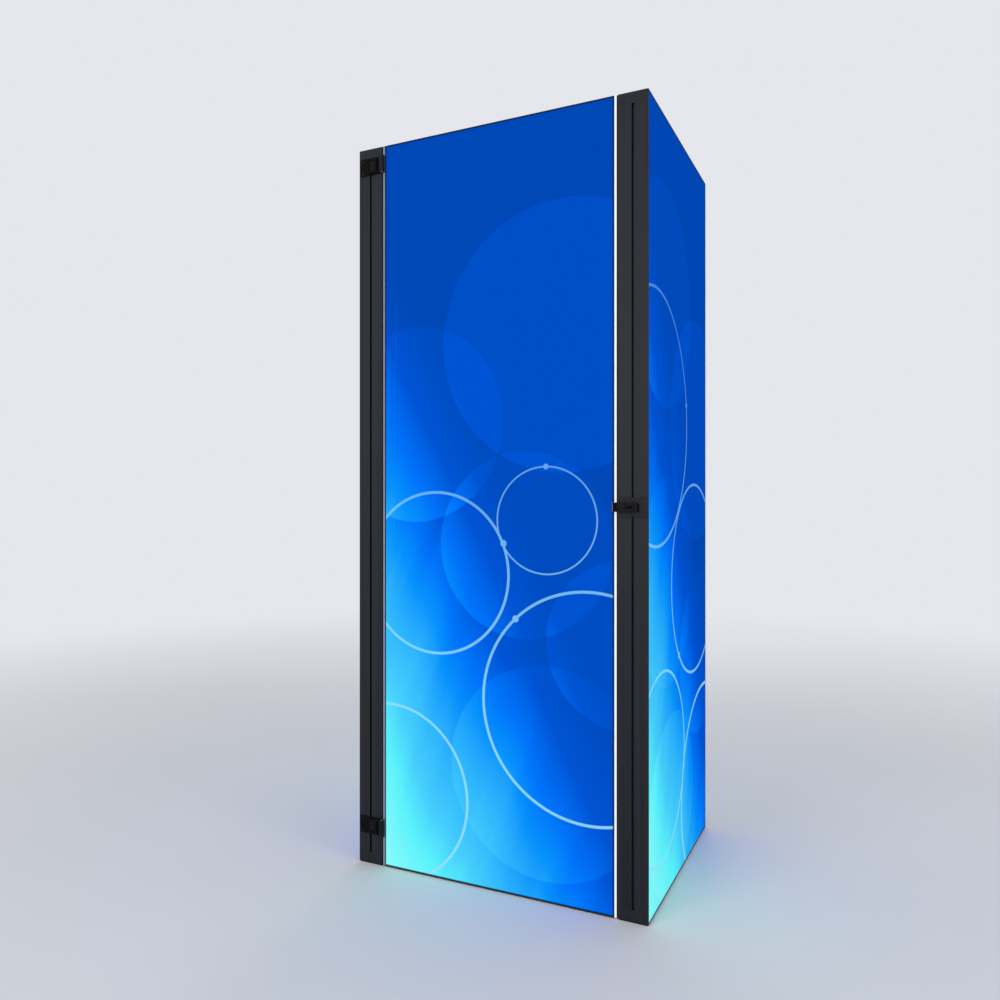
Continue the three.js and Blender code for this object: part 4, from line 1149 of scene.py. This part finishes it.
def pale_floor():
    """A pale floor that fades into the backdrop's tone far from the tower."""
    g = Graph("pale_floor")
    clouds = g.noise(0.8, detail=3.0, roughness=0.5)
    g.set(Base_Color=g.mix(clouds, tone(214, 215, 217), tone(222, 223, 225)))
    g.set(Roughness=0.7, Specular_IOR_Level=0.2)
    away = g.distance(g.place, 0, 0)
    fade = g.times(g.span(away, *FLOOR_FADE, smooth=True), seen_rays(g.tree))
    glow = g.node("ShaderNodeEmission")
    g.feed(glow.inputs["Color"], BACKDROP)
    g.feed(glow.inputs["Strength"], BACKDROP_STRENGTH)
    blend = g.node("ShaderNodeMixShader")
    for socket, value in zip(blend.inputs, (fade, g.shader.outputs[0], glow.outputs[0])):
        g.feed(socket, value)
    g.feed(g.tree.nodes["Material Output"].inputs["Surface"], blend.outputs[0])
    corners = [(-1, -1), (1, -1), (1, 1), (-1, 1)]
    points = [(x * FLOOR_REACH, y * FLOOR_REACH, 0) for x, y in corners]
    mesh = bpy.data.meshes.new("floor")
    mesh.from_pydata(points, [], [(0, 1, 2, 3)])
    mesh.materials.append(g.material)
    obj = bpy.data.objects.new("floor", mesh)
    bpy.context.scene.collection.objects.link(obj)


def studio_world():
    """An even pale world: a little brighter where it is seen than where it lights."""
    world = bpy.data.worlds.new("studio")
    world.use_nodes = True
    bpy.context.scene.world = world
    tree = world.node_tree
    back = tree.nodes["Background"]
    back.inputs["Color"].default_value = BACKDROP
    level = tree.nodes.new("ShaderNodeMapRange")
    tree.links.new(seen_rays(tree), level.inputs["Value"])
    level.inputs["To Min"].default_value = WORLD_STRENGTH
    level.inputs["To Max"].default_value = BACKDROP_STRENGTH
    tree.links.new(level.outputs[0], back.inputs["Strength"])


def soft_lamp(name, place, target, size, power):
    """A rectangular lamp that points at a place."""
    data = bpy.data.lights.new(name, "AREA")
    data.shape = "RECTANGLE"
    data.size, data.size_y = size
    data.energy = power
    obj = bpy.data.objects.new(name, data)
    obj.location = place
    aim = Vector(target) - Vector(place)
    obj.rotation_mode = "QUATERNION"
    obj.rotation_quaternion = aim.to_track_quat("-Z", "Y")
    bpy.context.scene.collection.objects.link(obj)


def set_camera():
    """The camera at the photo's viewing angle."""
    data = bpy.data.cameras.new("camera")
    data.sensor_width = CAMERA_SENSOR
    data.lens = CAMERA_LENS
    obj = bpy.data.objects.new("camera", data)
    obj.location = CAMERA_PLACE
    obj.rotation_euler = (math.radians(90), 0, math.radians(CAMERA_YAW))
    bpy.context.scene.collection.objects.link(obj)
    bpy.context.scene.camera = obj


dress_nodes()
hang_prints()
hang_liners()
fit_sunk_screws()
fit_clamps()
fit_button_ribs()
fit_shading_seals()
fit_spring()
fit_inlet()
pale_floor()
studio_world()
for lamp, settings in LAMPS.items():
    soft_lamp(lamp, *settings)
set_camera()
bpy.context.scene.view_settings.view_transform = "Standard"
